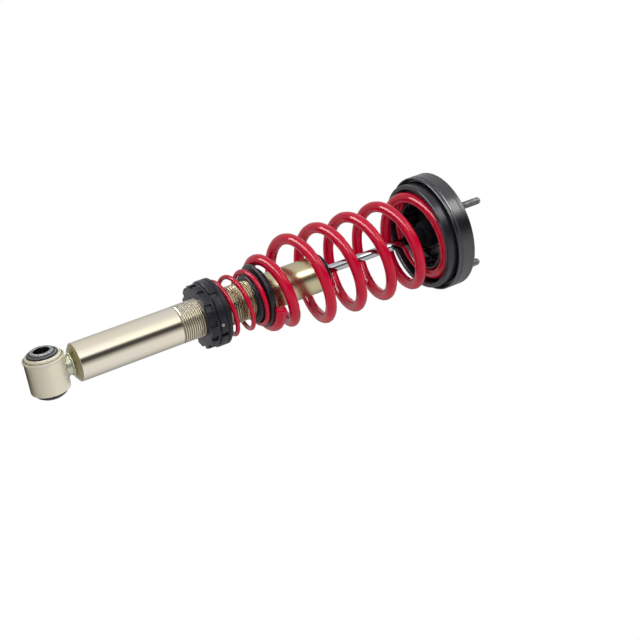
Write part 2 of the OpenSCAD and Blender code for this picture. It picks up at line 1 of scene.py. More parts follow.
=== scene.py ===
"""Adjustable coilover strut for a pickup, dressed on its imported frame."""
import logging
import math
from collections.abc import Callable, Iterator, Sequence
from contextlib import contextmanager
from dataclasses import dataclass
from enum import Enum
from functools import cache
from typing import Any

import bpy
from mathutils import Matrix, Vector
from mathutils.kdtree import KDTree
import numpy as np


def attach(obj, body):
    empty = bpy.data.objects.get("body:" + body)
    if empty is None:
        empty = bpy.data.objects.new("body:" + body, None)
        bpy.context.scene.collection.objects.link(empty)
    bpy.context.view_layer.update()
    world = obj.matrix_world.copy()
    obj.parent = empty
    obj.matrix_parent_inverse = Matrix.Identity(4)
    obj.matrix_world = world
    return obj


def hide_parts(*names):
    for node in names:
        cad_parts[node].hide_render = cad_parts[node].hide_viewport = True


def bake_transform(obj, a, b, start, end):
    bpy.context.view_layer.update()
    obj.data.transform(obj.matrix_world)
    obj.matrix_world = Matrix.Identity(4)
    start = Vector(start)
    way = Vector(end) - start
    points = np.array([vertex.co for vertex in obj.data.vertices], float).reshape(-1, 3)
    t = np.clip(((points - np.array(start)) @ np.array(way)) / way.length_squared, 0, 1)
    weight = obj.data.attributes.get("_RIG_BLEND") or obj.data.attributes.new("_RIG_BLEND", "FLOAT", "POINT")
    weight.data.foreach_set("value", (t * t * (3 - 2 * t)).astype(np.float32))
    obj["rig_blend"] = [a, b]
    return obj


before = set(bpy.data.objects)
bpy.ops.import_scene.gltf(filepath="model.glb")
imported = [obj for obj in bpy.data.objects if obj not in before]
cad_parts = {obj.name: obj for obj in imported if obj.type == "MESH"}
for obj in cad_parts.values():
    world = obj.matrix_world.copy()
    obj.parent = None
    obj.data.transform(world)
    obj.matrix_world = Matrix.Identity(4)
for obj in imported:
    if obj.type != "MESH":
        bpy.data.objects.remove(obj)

LOG = logging.getLogger("coilover")
MM = 0.001
TINY = 1e-6

Point = tuple[float, float]
Place = tuple[float, float, float]
Colour = tuple[float, float, float]
MeshObject = bpy.types.Object


# ---- Shader maths --------------------------------------------------------


def srgb(red: float, green: float, blue: float) -> Colour:
    """Turn an 8-bit screen colour into linear light."""
    def linear(value: float) -> float:
        """Undo the screen curve of one channel."""
        value /= 255
        return value / 12.92 if value <= 0.04045 else ((value + 0.055) / 1.055) ** 2.4
    return (linear(red), linear(green), linear(blue))


def math_method(operation: str, swapped: bool = False) -> Callable[["Signal", Any], "Signal"]:
    """Make the method that stands for one operator of shader maths.

    Args:
        operation: The Math node's operation.
        swapped: True for a reflected operator, whose other value comes first.

    Returns:
        A method that adds the Math node and returns its output.
    """
    def method(self: "Signal", other: Any) -> "Signal":
        """Put this and another value through a new Math node."""
        values = (other, self) if swapped else (self, other)
        return self.recipe.signal("Math", {"operation": operation}, values)
    return method


class Signal:
    """A shader socket that adds Math nodes when it is used in an expression."""

    def __init__(self, recipe: "Recipe", socket: bpy.types.NodeSocket) -> None:
        """Wrap an output socket of a recipe's tree."""
        self.recipe = recipe
        self.socket = socket

    __add__ = __radd__ = math_method("ADD")
    __mul__ = __rmul__ = math_method("MULTIPLY")
    __sub__, __rsub__ = math_method("SUBTRACT"), math_method("SUBTRACT", True)
    __truediv__, __rtruediv__ = math_method("DIVIDE"), math_method("DIVIDE", True)
    angle_from = math_method("ARCTAN2")

    def output(self, name: str) -> "Signal":
        """Another output of the node that this one comes from."""
        return Signal(self.recipe, self.socket.node.outputs[name])

    def band(self, low: float, high: float) -> "Signal":
        """Smooth step from 0 at low to 1 at high."""
        return self.recipe.signal("MapRange", {"interpolation_type": "SMOOTHSTEP"},
                                  (self, low, high, 0.0, 1.0))

    def between(self, low: float, high: float, rise: float, fall: float) -> "Signal":
        """Smooth hump from low to high, with the widths of its rise and fall."""
        return self.band(low, low + rise) * (1 - self.band(high - fall, high))


class Axis(Enum):
    """The axis that a piece was turned about."""

    X = (1.0, 0.0, 0.0)
    Z = (0.0, 0.0, 1.0)


class Recipe:
    """A node tree that is written as calls and expressions."""

    def __init__(self, tree: bpy.types.NodeTree) -> None:
        """Start from an emptied tree."""
        self.tree = tree
        tree.nodes.clear()

    def node(self, kind: str, settings: dict[str, Any] | None = None,
             sockets: dict[Any, Any] | Sequence[Any] = ()) -> bpy.types.Node:
        """Add a node, set its options and then its inputs.

        Args:
            kind: The node's type name after "ShaderNode".
            settings: Attributes of the node; "stops" fills a colour ramp.
            sockets: Values, colours or Signals for the first inputs in order, or for
                inputs by name or number.

        Returns:
            The new node.
        """
        node = self.tree.nodes.new("ShaderNode" + kind)
        for key, value in (settings or {}).items():
            if key == "stops":
                ramp = node.color_ramp
                while len(ramp.elements) < len(value):
                    ramp.elements.new(0.5)
                for element, (place, colour) in zip(ramp.elements, value):
                    element.position = place
                    element.color = (*colour, 1.0)
            else:
                setattr(node, key, value)
        inputs = sockets if isinstance(sockets, dict) else dict(enumerate(sockets))
        for key, value in inputs.items():
            self.feed(node.inputs[key], value)
        return node

    def feed(self, socket: bpy.types.NodeSocket, value: Any) -> None:
        """Link a Signal to a socket, or set the socket's own value.

        Args:
            socket: The input socket.
            value: A Signal, a colour or a plain value.
        """
        if isinstance(value, Signal):
            self.tree.links.new(value.socket, socket)
        elif isinstance(value, tuple) and socket.type == "RGBA":
            socket.default_value = (*value[:3], 1.0)
        else:
            socket.default_value = value

    def signal(self, kind: str, settings: dict[str, Any] | None = None,
               sockets: dict[Any, Any] | Sequence[Any] = (), out: int | str = 0) -> Signal:
        """Add a node as node() does and wrap one of its outputs."""
        return Signal(self, self.node(kind, settings, sockets).outputs[out])

    def place(self) -> Signal:
        """Object coordinates, in metres in the part's own frame."""
        return self.signal("TexCoord", out="Object")

    def vector(self, operation: str, *values: Any) -> Signal:
        """Add a Vector Math node and return its vector, or its number if it has one."""
        out = int(operation in ("LENGTH", "DOT_PRODUCT"))
        return self.signal("VectorMath", {"operation": operation}, values, out)

    def off_axis(self, axis: Axis) -> tuple[Signal, Signal]:
        """Distance from an axis and height along it, in metres."""
        place, flat = self.place(), tuple(1.0 - part for part in axis.value)
        return (self.vector("LENGTH", self.vector("MULTIPLY", place, flat)),
                self.vector("DOT_PRODUCT", place, axis.value))

    def turned_place(self, axis: Axis, scale: float) -> Signal:
        """Scaled coordinates that only change along an axis and away from it."""
        radius, height = self.off_axis(axis)
        return self.signal("CombineXYZ", None, {0: radius * scale, 2: height * scale})

    def noise(self, vector: Signal, scale: float, detail: float = 2.0,
              rough: float = 0.5) -> Signal:
        """Plain noise between 0 and 1."""
        return self.signal("TexNoise", None, {
            "Vector": vector, "Scale": scale, "Detail": detail, "Roughness": rough})

    def mix(self, factor: Any, first: Any, second: Any) -> Signal:
        """Blend two colours."""
        return self.signal("Mix", {"data_type": "RGBA"}, {0: factor, 6: first, 7: second}, 2)


class SurfaceRecipe(Recipe):
    """One material's tree, with its shader and output in place."""

    def __init__(self, name: str) -> None:
        """Start a new material.

        Args:
            name: The material's name.
        """
        self.material = bpy.data.materials.new(name)
        self.material.use_nodes = True
        super().__init__(self.material.node_tree)
        self.shader = self.node("BsdfPrincipled")
        self.surface = Signal(self, self.shader.outputs[0])
        self.output = self.node("OutputMaterial", None, (self.surface,))

    def bump(self, height: Signal, distance: float) -> None:
        """Drive the shader's normal by a height in metres times distance."""
        self.set(Normal=self.signal("Bump", None, {
            "Strength": 1.0, "Distance": distance, "Height": height}))

    def set(self, **values: Any) -> None:
        """Set the shader's sockets; underscores stand for spaces in their names."""
        for key, value in values.items():
            self.feed(self.shader.inputs[key.replace("_", " ")], value)


# ---- Finishes ------------------------------------------------------------

WHITE = (1.0, 1.0, 1.0)
DUST = srgb(150, 150, 148)
BORE_PAINTED_SHADE = srgb(40, 40, 44)
RIM_PAINTED_HIGHLIGHT = srgb(150, 148, 152)
ROOT_PAINTED_SHADE = srgb(92, 82, 56)
SEAM_PAINTED_SHADE = srgb(96, 76, 56)
SOFT_EDGE = 0.0004
SKIN_SWELL = 260.0


class Relief(Enum):
    """A finish's small texture: pattern scale, noise detail and depth in metres."""

    PEEL = (420.0, 1.0, 0.00006)
    LATHE = (5200.0, 2.0, 0.00002)
    BLAST = (2600.0, 2.0, 0.00003)
    SKIN = (1900.0, 3.0, 0.00005)
    PORES = (1100.0, 0.0, 0.0005)


@dataclass(frozen=True)
class Finish:
    """A surface finish: two colours that drift, a relief and a gloss.

    Nearer the axis than the bore, in metres, the colour is darkened: painted
    shade inside the hole. At the rim's distance from the axis a thin ring is
    painted paler: a painted highlight on a moulded edge.
    """

    name: str
    colour: Colour
    drift: Colour
    roughness: tuple[float, float]
    relief: Relief
    depth: float
    metallic: float = 0.0
    drift_scale: float = 30.0
    specular: float = 0.5
    axis: Axis = Axis.Z
    dust: float = 0.0
    bore: float = 0.0
    rim: float = 0.0

    def height(self, recipe: Recipe) -> tuple[Signal, float]:
        """Add the relief's pattern to a recipe.

        Args:
            recipe: The material's recipe.

        Returns:
            The height signal, and how deep it is in metres.
        """
        scale, detail, depth = self.relief.value
        if self.relief is Relief.LATHE:
            pattern = recipe.noise(recipe.turned_place(self.axis, scale), 1.0, detail)
        elif self.relief is Relief.PORES:
            pattern = recipe.signal("TexVoronoi", None, {
                "Vector": recipe.place(), "Scale": scale}, "Distance")
        else:
            pattern = recipe.noise(recipe.place(), scale, detail)
        if self.relief is Relief.SKIN:
            pattern = pattern + recipe.noise(recipe.place(), SKIN_SWELL)
        return pattern, depth * self.depth

    @cache
    def material(self) -> bpy.types.Material:
        """Build the finish as a node material, once.

        Returns:
            The material.
        """
        recipe = SurfaceRecipe(self.name)
        place = recipe.place()
        blotch = recipe.noise(place, self.drift_scale, 3.0, 0.6).band(0.32, 0.7)
        smear = recipe.noise(place, self.drift_scale * 4.3)
        low, high = self.roughness
        base = recipe.mix(blotch, self.colour, self.drift)
        if self.dust > 0:
            specks = recipe.noise(place, 900.0, 3.0, 0.7).band(0.55, 0.8)
            base = recipe.mix(specks * self.dust, base, DUST)
        # Painted shade: inside the bore the colour is darkened, standing for the shadow in the hole.
        if self.bore > 0:
            inside = 1 - recipe.off_axis(self.axis)[0].band(self.bore,
                                                            self.bore + SOFT_EDGE)
            base = recipe.mix(inside * 0.85, base, BORE_PAINTED_SHADE)
        # Painted highlight: a pale ring at the rim's radius stands for light caught by the moulded edge.
        if self.rim > 0:
            away = recipe.off_axis(self.axis)[0] - self.rim
            rim_highlight_mask = away.between(-1.5 * SOFT_EDGE, 1.5 * SOFT_EDGE, SOFT_EDGE, SOFT_EDGE)
            base = recipe.mix(rim_highlight_mask * 0.7, base, RIM_PAINTED_HIGHLIGHT)
        recipe.set(Base_Color=base, Metallic=self.metallic,
                   Roughness=smear * (high - low) + low, Specular_IOR_Level=self.specular)
        recipe.bump(*self.height(recipe))
        return recipe.material


@dataclass(frozen=True)
class ZincFinish:
    """Yellow zinc plate: gold with faint green and rose bands from the passivate.

    Between the thread's heights, below the root's radii, the colour is darkened
    as painted shade in the thread's roots, and the plate is rougher there.
    Between the seam's radii the colour is darkened as painted shade in the
    groove. Over the heights of climb it turns to the deep colour and duller.
    All are in metres.
    """

    name: str
    gold: Colour
    pale: Colour
    rose: Colour
    roughness: tuple[float, float]
    lines: float
    axis: Axis = Axis.Z
    metallic: float = 1.0
    deep: Colour = (0.5, 0.45, 0.25)
    climb: tuple[float, float] | None = None
    root: tuple[float, float] | None = None
    thread: tuple[float, float] = (-1.0, 1.0)
    seam: tuple[float, float] | None = None

    @cache
    def material(self) -> bpy.types.Material:
        """Build the finish as a node material, once.

        Returns:
            The material.
        """
        recipe = SurfaceRecipe(self.name)
        place = recipe.place()
        stretched = recipe.vector("MULTIPLY", place, (1.0, 1.0, 0.22))
        wash = recipe.noise(stretched, 34.0).band(0.3, 0.72)
        film = recipe.noise(stretched, 58.0, 3.0, 0.55).band(0.5, 0.68)
        cloud = recipe.noise(place, 130.0, 3.0, 0.6)
        low, high = self.roughness
        base = recipe.mix(wash, self.gold, self.pale)
        base = recipe.mix(film * 0.5, base, self.rose)
        gloss = cloud * (high - low) + low
        radius, height = recipe.off_axis(self.axis)
        if self.climb is not None:
            risen = height.band(*self.climb)
            base = recipe.mix(risen * 0.8, base, self.deep)
            gloss = gloss + risen * 0.12
        # Painted shade: the thread's roots are darkened in colour, and made rougher.
        if self.root is not None:
            threaded = height.between(*self.thread, SOFT_EDGE, SOFT_EDGE)
            painted_shade_mask = (1 - radius.band(*self.root)) * threaded
            base = recipe.mix(painted_shade_mask * 0.8, base, ROOT_PAINTED_SHADE)
            gloss = gloss + painted_shade_mask * 0.35
        # Painted shade: the groove between the seam's radii is darkened in colour.
        if self.seam is not None:
            painted_shade_mask = radius.between(*self.seam, 0.0003, 0.0003)
            base = recipe.mix(painted_shade_mask * 0.85, base, SEAM_PAINTED_SHADE)
        recipe.set(Base_Color=base, Metallic=self.metallic, Roughness=gloss)
        lines = recipe.noise(recipe.turned_place(self.axis, 4200.0), 1.0)
        ripple = recipe.noise(place, 240.0)
        recipe.bump(lines * self.lines + ripple * 0.5, 0.00002)
        return recipe.material


# Its root and thread settings paint shade into the thread's roots.
TUBE_ZINC = ZincFinish("polished_yellow_zinc", srgb(224, 216, 194), srgb(220, 215, 203),
                       srgb(224, 210, 200), (0.08, 0.16), 0.3, deep=srgb(184, 174, 132),
                       climb=(0.19, 0.3), root=(0.02475, 0.0257), thread=(0.1779, 0.3069))
# A darker copy of the yellow zinc: painted shade on the base cap's cone.
CAP_ZINC_PAINTED_SHADE = ZincFinish("cap_zinc_painted_shade", srgb(154, 145, 112), srgb(162, 156, 130),
                      srgb(166, 154, 134), (0.26, 0.34), 0.3)
NECK_ZINC = ZincFinish("neck_yellow_zinc", srgb(190, 192, 164), srgb(200, 202, 184),
                       srgb(196, 190, 174), (0.36, 0.46), 0.2)
# Its seam paints shade into the groove between the eye's rim and the bush's shell.
EYE_ZINC = ZincFinish("eye_yellow_zinc", srgb(232, 224, 198), srgb(228, 224, 208),
                      srgb(232, 214, 204), (0.42, 0.5), 0.1, Axis.X, 0.4,
                      seam=(0.0233, 0.0248))
STUD_ZINC = Finish("clear_zinc", srgb(150, 151, 148), srgb(128, 130, 128), (0.34, 0.48),
                   Relief.BLAST, 0.6, metallic=1.0, drift_scale=90.0)
CHROME = Finish("hard_chrome", srgb(176, 177, 180), srgb(168, 170, 174), (0.04, 0.09),
                Relief.LATHE, 0.25, metallic=1.0, drift_scale=40.0)
SLEEVE_STEEL = Finish("machined_steel", srgb(160, 160, 163), srgb(150, 150, 154),
                      (0.3, 0.38), Relief.LATHE, 0.15, metallic=1.0, axis=Axis.X,
                      bore=0.0103)
RED_COAT = Finish("crimson_powder_coat", srgb(202, 0, 50), srgb(192, 0, 46), (0.1, 0.15),
                  Relief.PEEL, 0.2, drift_scale=22.0, specular=0.28)
BLACK_ANODISED = Finish("black_anodised", srgb(28, 29, 36), srgb(22, 23, 30), (0.3, 0.4),
                        Relief.LATHE, 0.8, drift_scale=26.0, specular=0.3)
GLOSS_BLACK = Finish("gloss_black_paint", srgb(20, 21, 29), srgb(15, 16, 23),
                     (0.18, 0.26), Relief.PEEL, 0.6, specular=0.85)
BLACK_ZINC = Finish("black_zinc_nut", srgb(44, 46, 50), srgb(34, 36, 40), (0.26, 0.4),
                    Relief.BLAST, 0.8, metallic=0.7)
BUSH_RUBBER = Finish("eye_bush_rubber", srgb(22, 22, 25), srgb(30, 30, 33), (0.3, 0.42),
                     Relief.SKIN, 0.5, drift_scale=120.0, axis=Axis.X, dust=0.06,
                     rim=0.0178)
SEAT_RUBBER = Finish("spring_seat_rubber", srgb(30, 31, 38), srgb(24, 25, 31), (0.22, 0.3),
                     Relief.SKIN, 0.3, drift_scale=60.0, specular=0.4, dust=0.03)
STOP_FOAM = Finish("bump_stop_foam", srgb(15, 15, 19), srgb(20, 20, 24), (0.75, 0.9),
                   Relief.PORES, 0.6, specular=0.08)
TURNED_ALLOY = Finish("turned_alloy", srgb(200, 201, 204), srgb(188, 190, 194),
                      (0.22, 0.34), Relief.LATHE, 1.0, metallic=1.0)
BRIGHT_SCREW = Finish("bright_screw", srgb(206, 200, 184), srgb(190, 184, 168),
                      (0.2, 0.34), Relief.BLAST, 0.6, metallic=1.0)
VALVE_STEEL = Finish("blue_valve_steel", srgb(150, 152, 160), srgb(132, 136, 146),
                     (0.2, 0.32), Relief.LATHE, 0.8, metallic=1.0)
BEARING_STRIP = Finish("bearing_strip", srgb(92, 66, 46), srgb(80, 58, 42), (0.45, 0.6),
                       Relief.BLAST, 1.0)
SEAL_RUBBER = Finish("seal_rubber", srgb(22, 22, 24), srgb(28, 28, 30), (0.38, 0.5),
                     Relief.SKIN, 0.5)


# ---- Workbench: operators on meshes --------------------------------------


def only(*pieces: MeshObject) -> None:
    """Select these objects and nothing else, with the first one active.

    Args:
        pieces: The objects, if any.
    """
    if bpy.context.object and bpy.context.object.mode != "OBJECT":
        bpy.ops.object.mode_set(mode="OBJECT")
    bpy.ops.object.select_all(action="DESELECT")
    for piece in pieces:
        piece.select_set(True)
    bpy.context.view_layer.objects.active = pieces[0] if pieces else None


@contextmanager
def editing(piece: MeshObject, select: bool = True) -> Iterator[None]:
    """Edit a mesh for as long as the block lasts.

    Args:
        piece: The mesh.
        select: True to start with all of it selected, False with nothing.
    """
    only(piece)
    bpy.ops.object.mode_set(mode="EDIT")
    bpy.ops.mesh.select_all(action="SELECT" if select else "DESELECT")
    yield
    bpy.ops.object.mode_set(mode="OBJECT")


def settle(piece: MeshObject) -> MeshObject:
    """Apply a piece's place, turn and scale to its mesh, and return it."""
    only(piece)
    bpy.ops.object.transform_apply(location=True, rotation=True, scale=True)
    return piece


def added(name: str) -> MeshObject:
    """Name the primitive that was just added and settle it."""
    bpy.context.object.name = name
    return settle(bpy.context.object)


def closed(piece: MeshObject) -> MeshObject:
    """Merge doubled vertices, turn all faces outwards, and return the piece."""
    with editing(piece):
        bpy.ops.mesh.remove_doubles(threshold=TINY)
        bpy.ops.mesh.normals_make_consistent(inside=False)
    return piece


def apply_modifier(piece: MeshObject, kind: str, **settings: Any) -> MeshObject:
    """Add a modifier and apply it at once.

    Args:
        piece: The piece to change.
        kind: The modifier's type.
        settings: Its settings.

    Returns:
        The piece.
    """
    only(piece)
    modifier = piece.modifiers.new(kind.lower(), kind)
    for key, value in settings.items():
        setattr(modifier, key, value)
    bpy.ops.object.modifier_apply(modifier=modifier.name)
    return piece


def bevelled(piece: MeshObject, width: float, segments: int = 2,
             angle: float = 32.0) -> MeshObject:
    """Round a piece's edges that are sharper than an angle; width is in mm."""
    return apply_modifier(piece, "BEVEL", width=width * MM, segments=segments,
                          limit_method="ANGLE", angle_limit=math.radians(angle),
                          use_clamp_overlap=True, harden_normals=False)


def smooth(piece: MeshObject, angle: float = 34.0) -> MeshObject:
    """Shade a piece smooth but for edges sharper than an angle, and return it."""
    only(piece)
    bpy.ops.object.shade_smooth_by_angle(angle=math.radians(angle))
    return piece


def turned(name: str, profile: Sequence[Point], sides: int = 128, solid: bool = False,
           phase: float = 0.0, axis: Axis = Axis.Z) -> MeshObject:
    """Turn a profile about an axis, as on a lathe.

    Args:
        name: The piece's name.
        profile: (radius, height) pairs in mm; a ring's profile closes on itself.
        sides: Number of flats round the axis.
        solid: True for a profile whose two ends are closed by flat faces.
        phase: Turn of the first flat, in degrees.
        axis: The axis that the piece is turned about.

    Returns:
        The closed mesh.
    """
    (radius, height), rest = profile[0], list(profile[1:])
    only()
    bpy.ops.mesh.primitive_circle_add(
        vertices=sides, radius=radius * MM, location=(0, 0, height * MM),
        fill_type="NGON" if solid else "NOTHING",
        rotation=(0, 0, math.radians(phase)))
    piece = added(name)
    with editing(piece):
        for next_radius, next_height in rest + ([] if solid else [profile[0]]):
            bpy.ops.mesh.extrude_region_move(TRANSFORM_OT_translate={
                "value": (0, 0, (next_height - height) * MM)})
            scale = next_radius / radius
            bpy.ops.transform.resize(value=(scale, scale, 1),
                                     center_override=(0, 0, next_height * MM))
            radius, height = next_radius, next_height
    closed(piece)
    if axis is Axis.X:
        piece.rotation_euler = (0, math.pi / 2, 0)
        settle(piece)
    return piece


def block(name: str, size: Place, centre: Place, turn: float = 0.0) -> MeshObject:
    """Add a box and swing it about Z.

    Args:
        name: The box's name.
        size: Its size in mm.
        centre: Its centre in mm, before the swing.
        turn: The swing in degrees.

    Returns:
        The box.
    """
    only()
    bpy.ops.mesh.primitive_cube_add(size=MM, location=[c * MM for c in centre],
                                    scale=size)
    piece = added(name)
    piece.rotation_euler = (0, 0, math.radians(turn))
    return settle(piece)


def joined(name: str, pieces: Sequence[MeshObject]) -> MeshObject:
    """Join meshes into one object.

    Args:
        name: The object's name.
        pieces: The meshes, which are used up.

    Returns:
        The object.
    """
    only(*pieces)
    if len(pieces) > 1:
        bpy.ops.object.join()
    bpy.context.object.name = name
    return bpy.context.object


def spaced(piece: MeshObject, turns: Sequence[float]) -> MeshObject:
    """Copy a piece to several headings about Z and join the copies.

    Args:
        piece: The piece to repeat, which is used up.
        turns: The copies' headings in degrees.

    Returns:
        The joined copies.
    """
    name, twins = piece.name, []
    for turn in turns:
        twin = piece.copy()
        twin.data = piece.data.copy()
        bpy.context.scene.collection.objects.link(twin)
        twin.rotation_euler = (0, 0, math.radians(turn))
        twins.append(settle(twin))
    bpy.data.objects.remove(piece)
    return joined(name, twins)


def cut(piece: MeshObject, cutter: MeshObject, operation: str = "DIFFERENCE") -> MeshObject:
    """Cut one mesh by another.

    Args:
        piece: The mesh to cut.
        cutter: The mesh that cuts, which is used up.
        operation: The Boolean modifier's operation.

    Returns:
        The piece.
    """
    apply_modifier(piece, "BOOLEAN", object=cutter, operation=operation, solver="EXACT")
    bpy.data.objects.remove(cutter)
    with editing(piece):
        bpy.ops.mesh.remove_doubles(threshold=TINY)
        bpy.ops.mesh.dissolve_degenerate(threshold=TINY)
    return piece


def reshaped(piece: MeshObject, move: Callable[[Vector], Vector]) -> MeshObject:
    """Move every vertex of a piece.

    Args:
        piece: The piece.
        move: The rule that takes a place in mm to its new place.

    Returns:
        The piece.
    """
    for vertex in piece.data.vertices:
        vertex.co = move(vertex.co / MM) * MM
    piece.data.update()
    return piece


def moved(piece: MeshObject, by: Sequence[float]) -> MeshObject:
    """Shift a piece by a vector in mm, and return it."""
    piece.location = [part * MM for part in by]
    return settle(piece)


def polar(radius: float, heading: float) -> Point:
    """A place beside the Z axis from its distance and its heading in degrees."""
    turn = math.radians(heading)
    return radius * math.cos(turn), radius * math.sin(turn)


def traced(*parts: tuple) -> list[Point]:
    """Trace an outline from points and curves.

    Args:
        parts: Points, and cubic Bezier curves. A curve is its number of steps and
            then its control points: four, or three if it starts at the last point.

    Returns:
        The outline's points; a curve's first control point isn't one of them.
    """
    outline: list[Point] = []
    for part in parts:
        if not isinstance(part[1], tuple):
            outline.append(part)
            continue
        steps, controls = part[0], [*outline[-1:], *part[1:]][-4:]
        for t in ((i + 1) / steps for i in range(steps)):
            weights = ((1 - t) ** 3, 3 * t * (1 - t) ** 2, 3 * t * t * (1 - t), t ** 3)
            outline.append(tuple(
                sum(w * point[k] for w, point in zip(weights, controls)) for k in (0, 1)))
    return outline


def ease(value: float) -> float:
    """Smooth step from 0 to 1."""
    value = min(1.0, max(0.0, value))
    return value * value * (3 - 2 * value)


def ridge(name: str, root: float, crest: float, pitch: float, low: float, high: float,
          steps: int, at: Point = (0.0, 0.0)) -> MeshObject:
    """Wind a right-hand thread's ridge as a closed strip, sunk in its core.

    Args:
        name: The piece's name.
        root: Core radius that the ridge stands on, in mm.
        crest: Crest radius in mm.
        pitch: Rise of one turn in mm.
        low: Height where the ridge starts.
        high: Height where it ends.
        steps: Steps in one turn.
        at: The screw axis's place.

    Returns:
        The wound mesh, whose first and last half turns fade into the core.
    """
    only()
    bpy.ops.mesh.primitive_circle_add(vertices=4, radius=MM, fill_type="NOTHING",
                                      rotation=(math.pi / 2, 0, 0))
    piece = added(name)
    inner, flat, half, fading = root - 0.25, 0.1 * pitch, 0.48 * pitch, 0.6 * pitch
    corners = [(crest, low + flat), (inner, low + half),
               (inner, low - half), (crest, low - flat)]
    for vertex, (radius, height) in zip(piece.data.vertices, corners):
        vertex.co = (radius * MM, 0, height * MM)
    turns = (high - low) / pitch
    apply_modifier(piece, "SCREW", axis="Z", angle=math.tau * turns,
                   screw_offset=pitch * turns * MM, iterations=1,
                   steps=round(steps * turns), render_steps=round(steps * turns),
                   use_merge_vertices=False)
    with editing(piece, select=False):
        bpy.ops.mesh.select_non_manifold(extend=False)
        bpy.ops.mesh.fill_holes(sides=0)
    closed(piece)

    def fade(point: Vector) -> Vector:
        """Sink the ridge's two ends into the core."""
        radius = math.hypot(point.x, point.y)
        if radius < inner + 0.01:
            return point
        end = min(ease((point.z - low) / fading), ease((high - point.z) / fading))
        wanted = inner + (radius - inner) * end
        return Vector((point.x * wanted / radius, point.y * wanted / radius, point.z))

    return moved(reshaped(piece, fade), (*at, 0.0))


# ---- Fitting a piece to the frame ----------------------------------------


def fitted(piece: MeshObject, body: str, finish: Finish | ZincFinish, slot: str,
           *nodes: str) -> MeshObject:
    """Dress a finished piece and let it ride on its body.

    Args:
        piece: The finished mesh.
        body: The body it moves with.
        finish: Its finish.
        slot: The name of a material slot; not used.
        nodes: The frame's nodes that it stands for.

    Returns:
        The piece.
    """
    piece.data.materials.clear()
    piece.data.materials.append(finish.material())
    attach(piece, body)
    if nodes:
        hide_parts(*nodes)
    LOG.info("%s rides on %s, %d faces", piece.name, body, len(piece.data.polygons))
    return piece


def dressed(node: str, finish: Finish | ZincFinish) -> None:
    """Give a node that keeps its own shape a finish.

    Args:
        node: The node's name.
        finish: Its finish.
    """
    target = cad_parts[node]
    if not target.material_slots:
        target.data.materials.append(finish.material())
    for material_slot in target.material_slots:
        material_slot.material = finish.material()
    LOG.info("%s keeps its shape, %s", node, finish.name)


# ---- Lower eye -----------------------------------------------------------


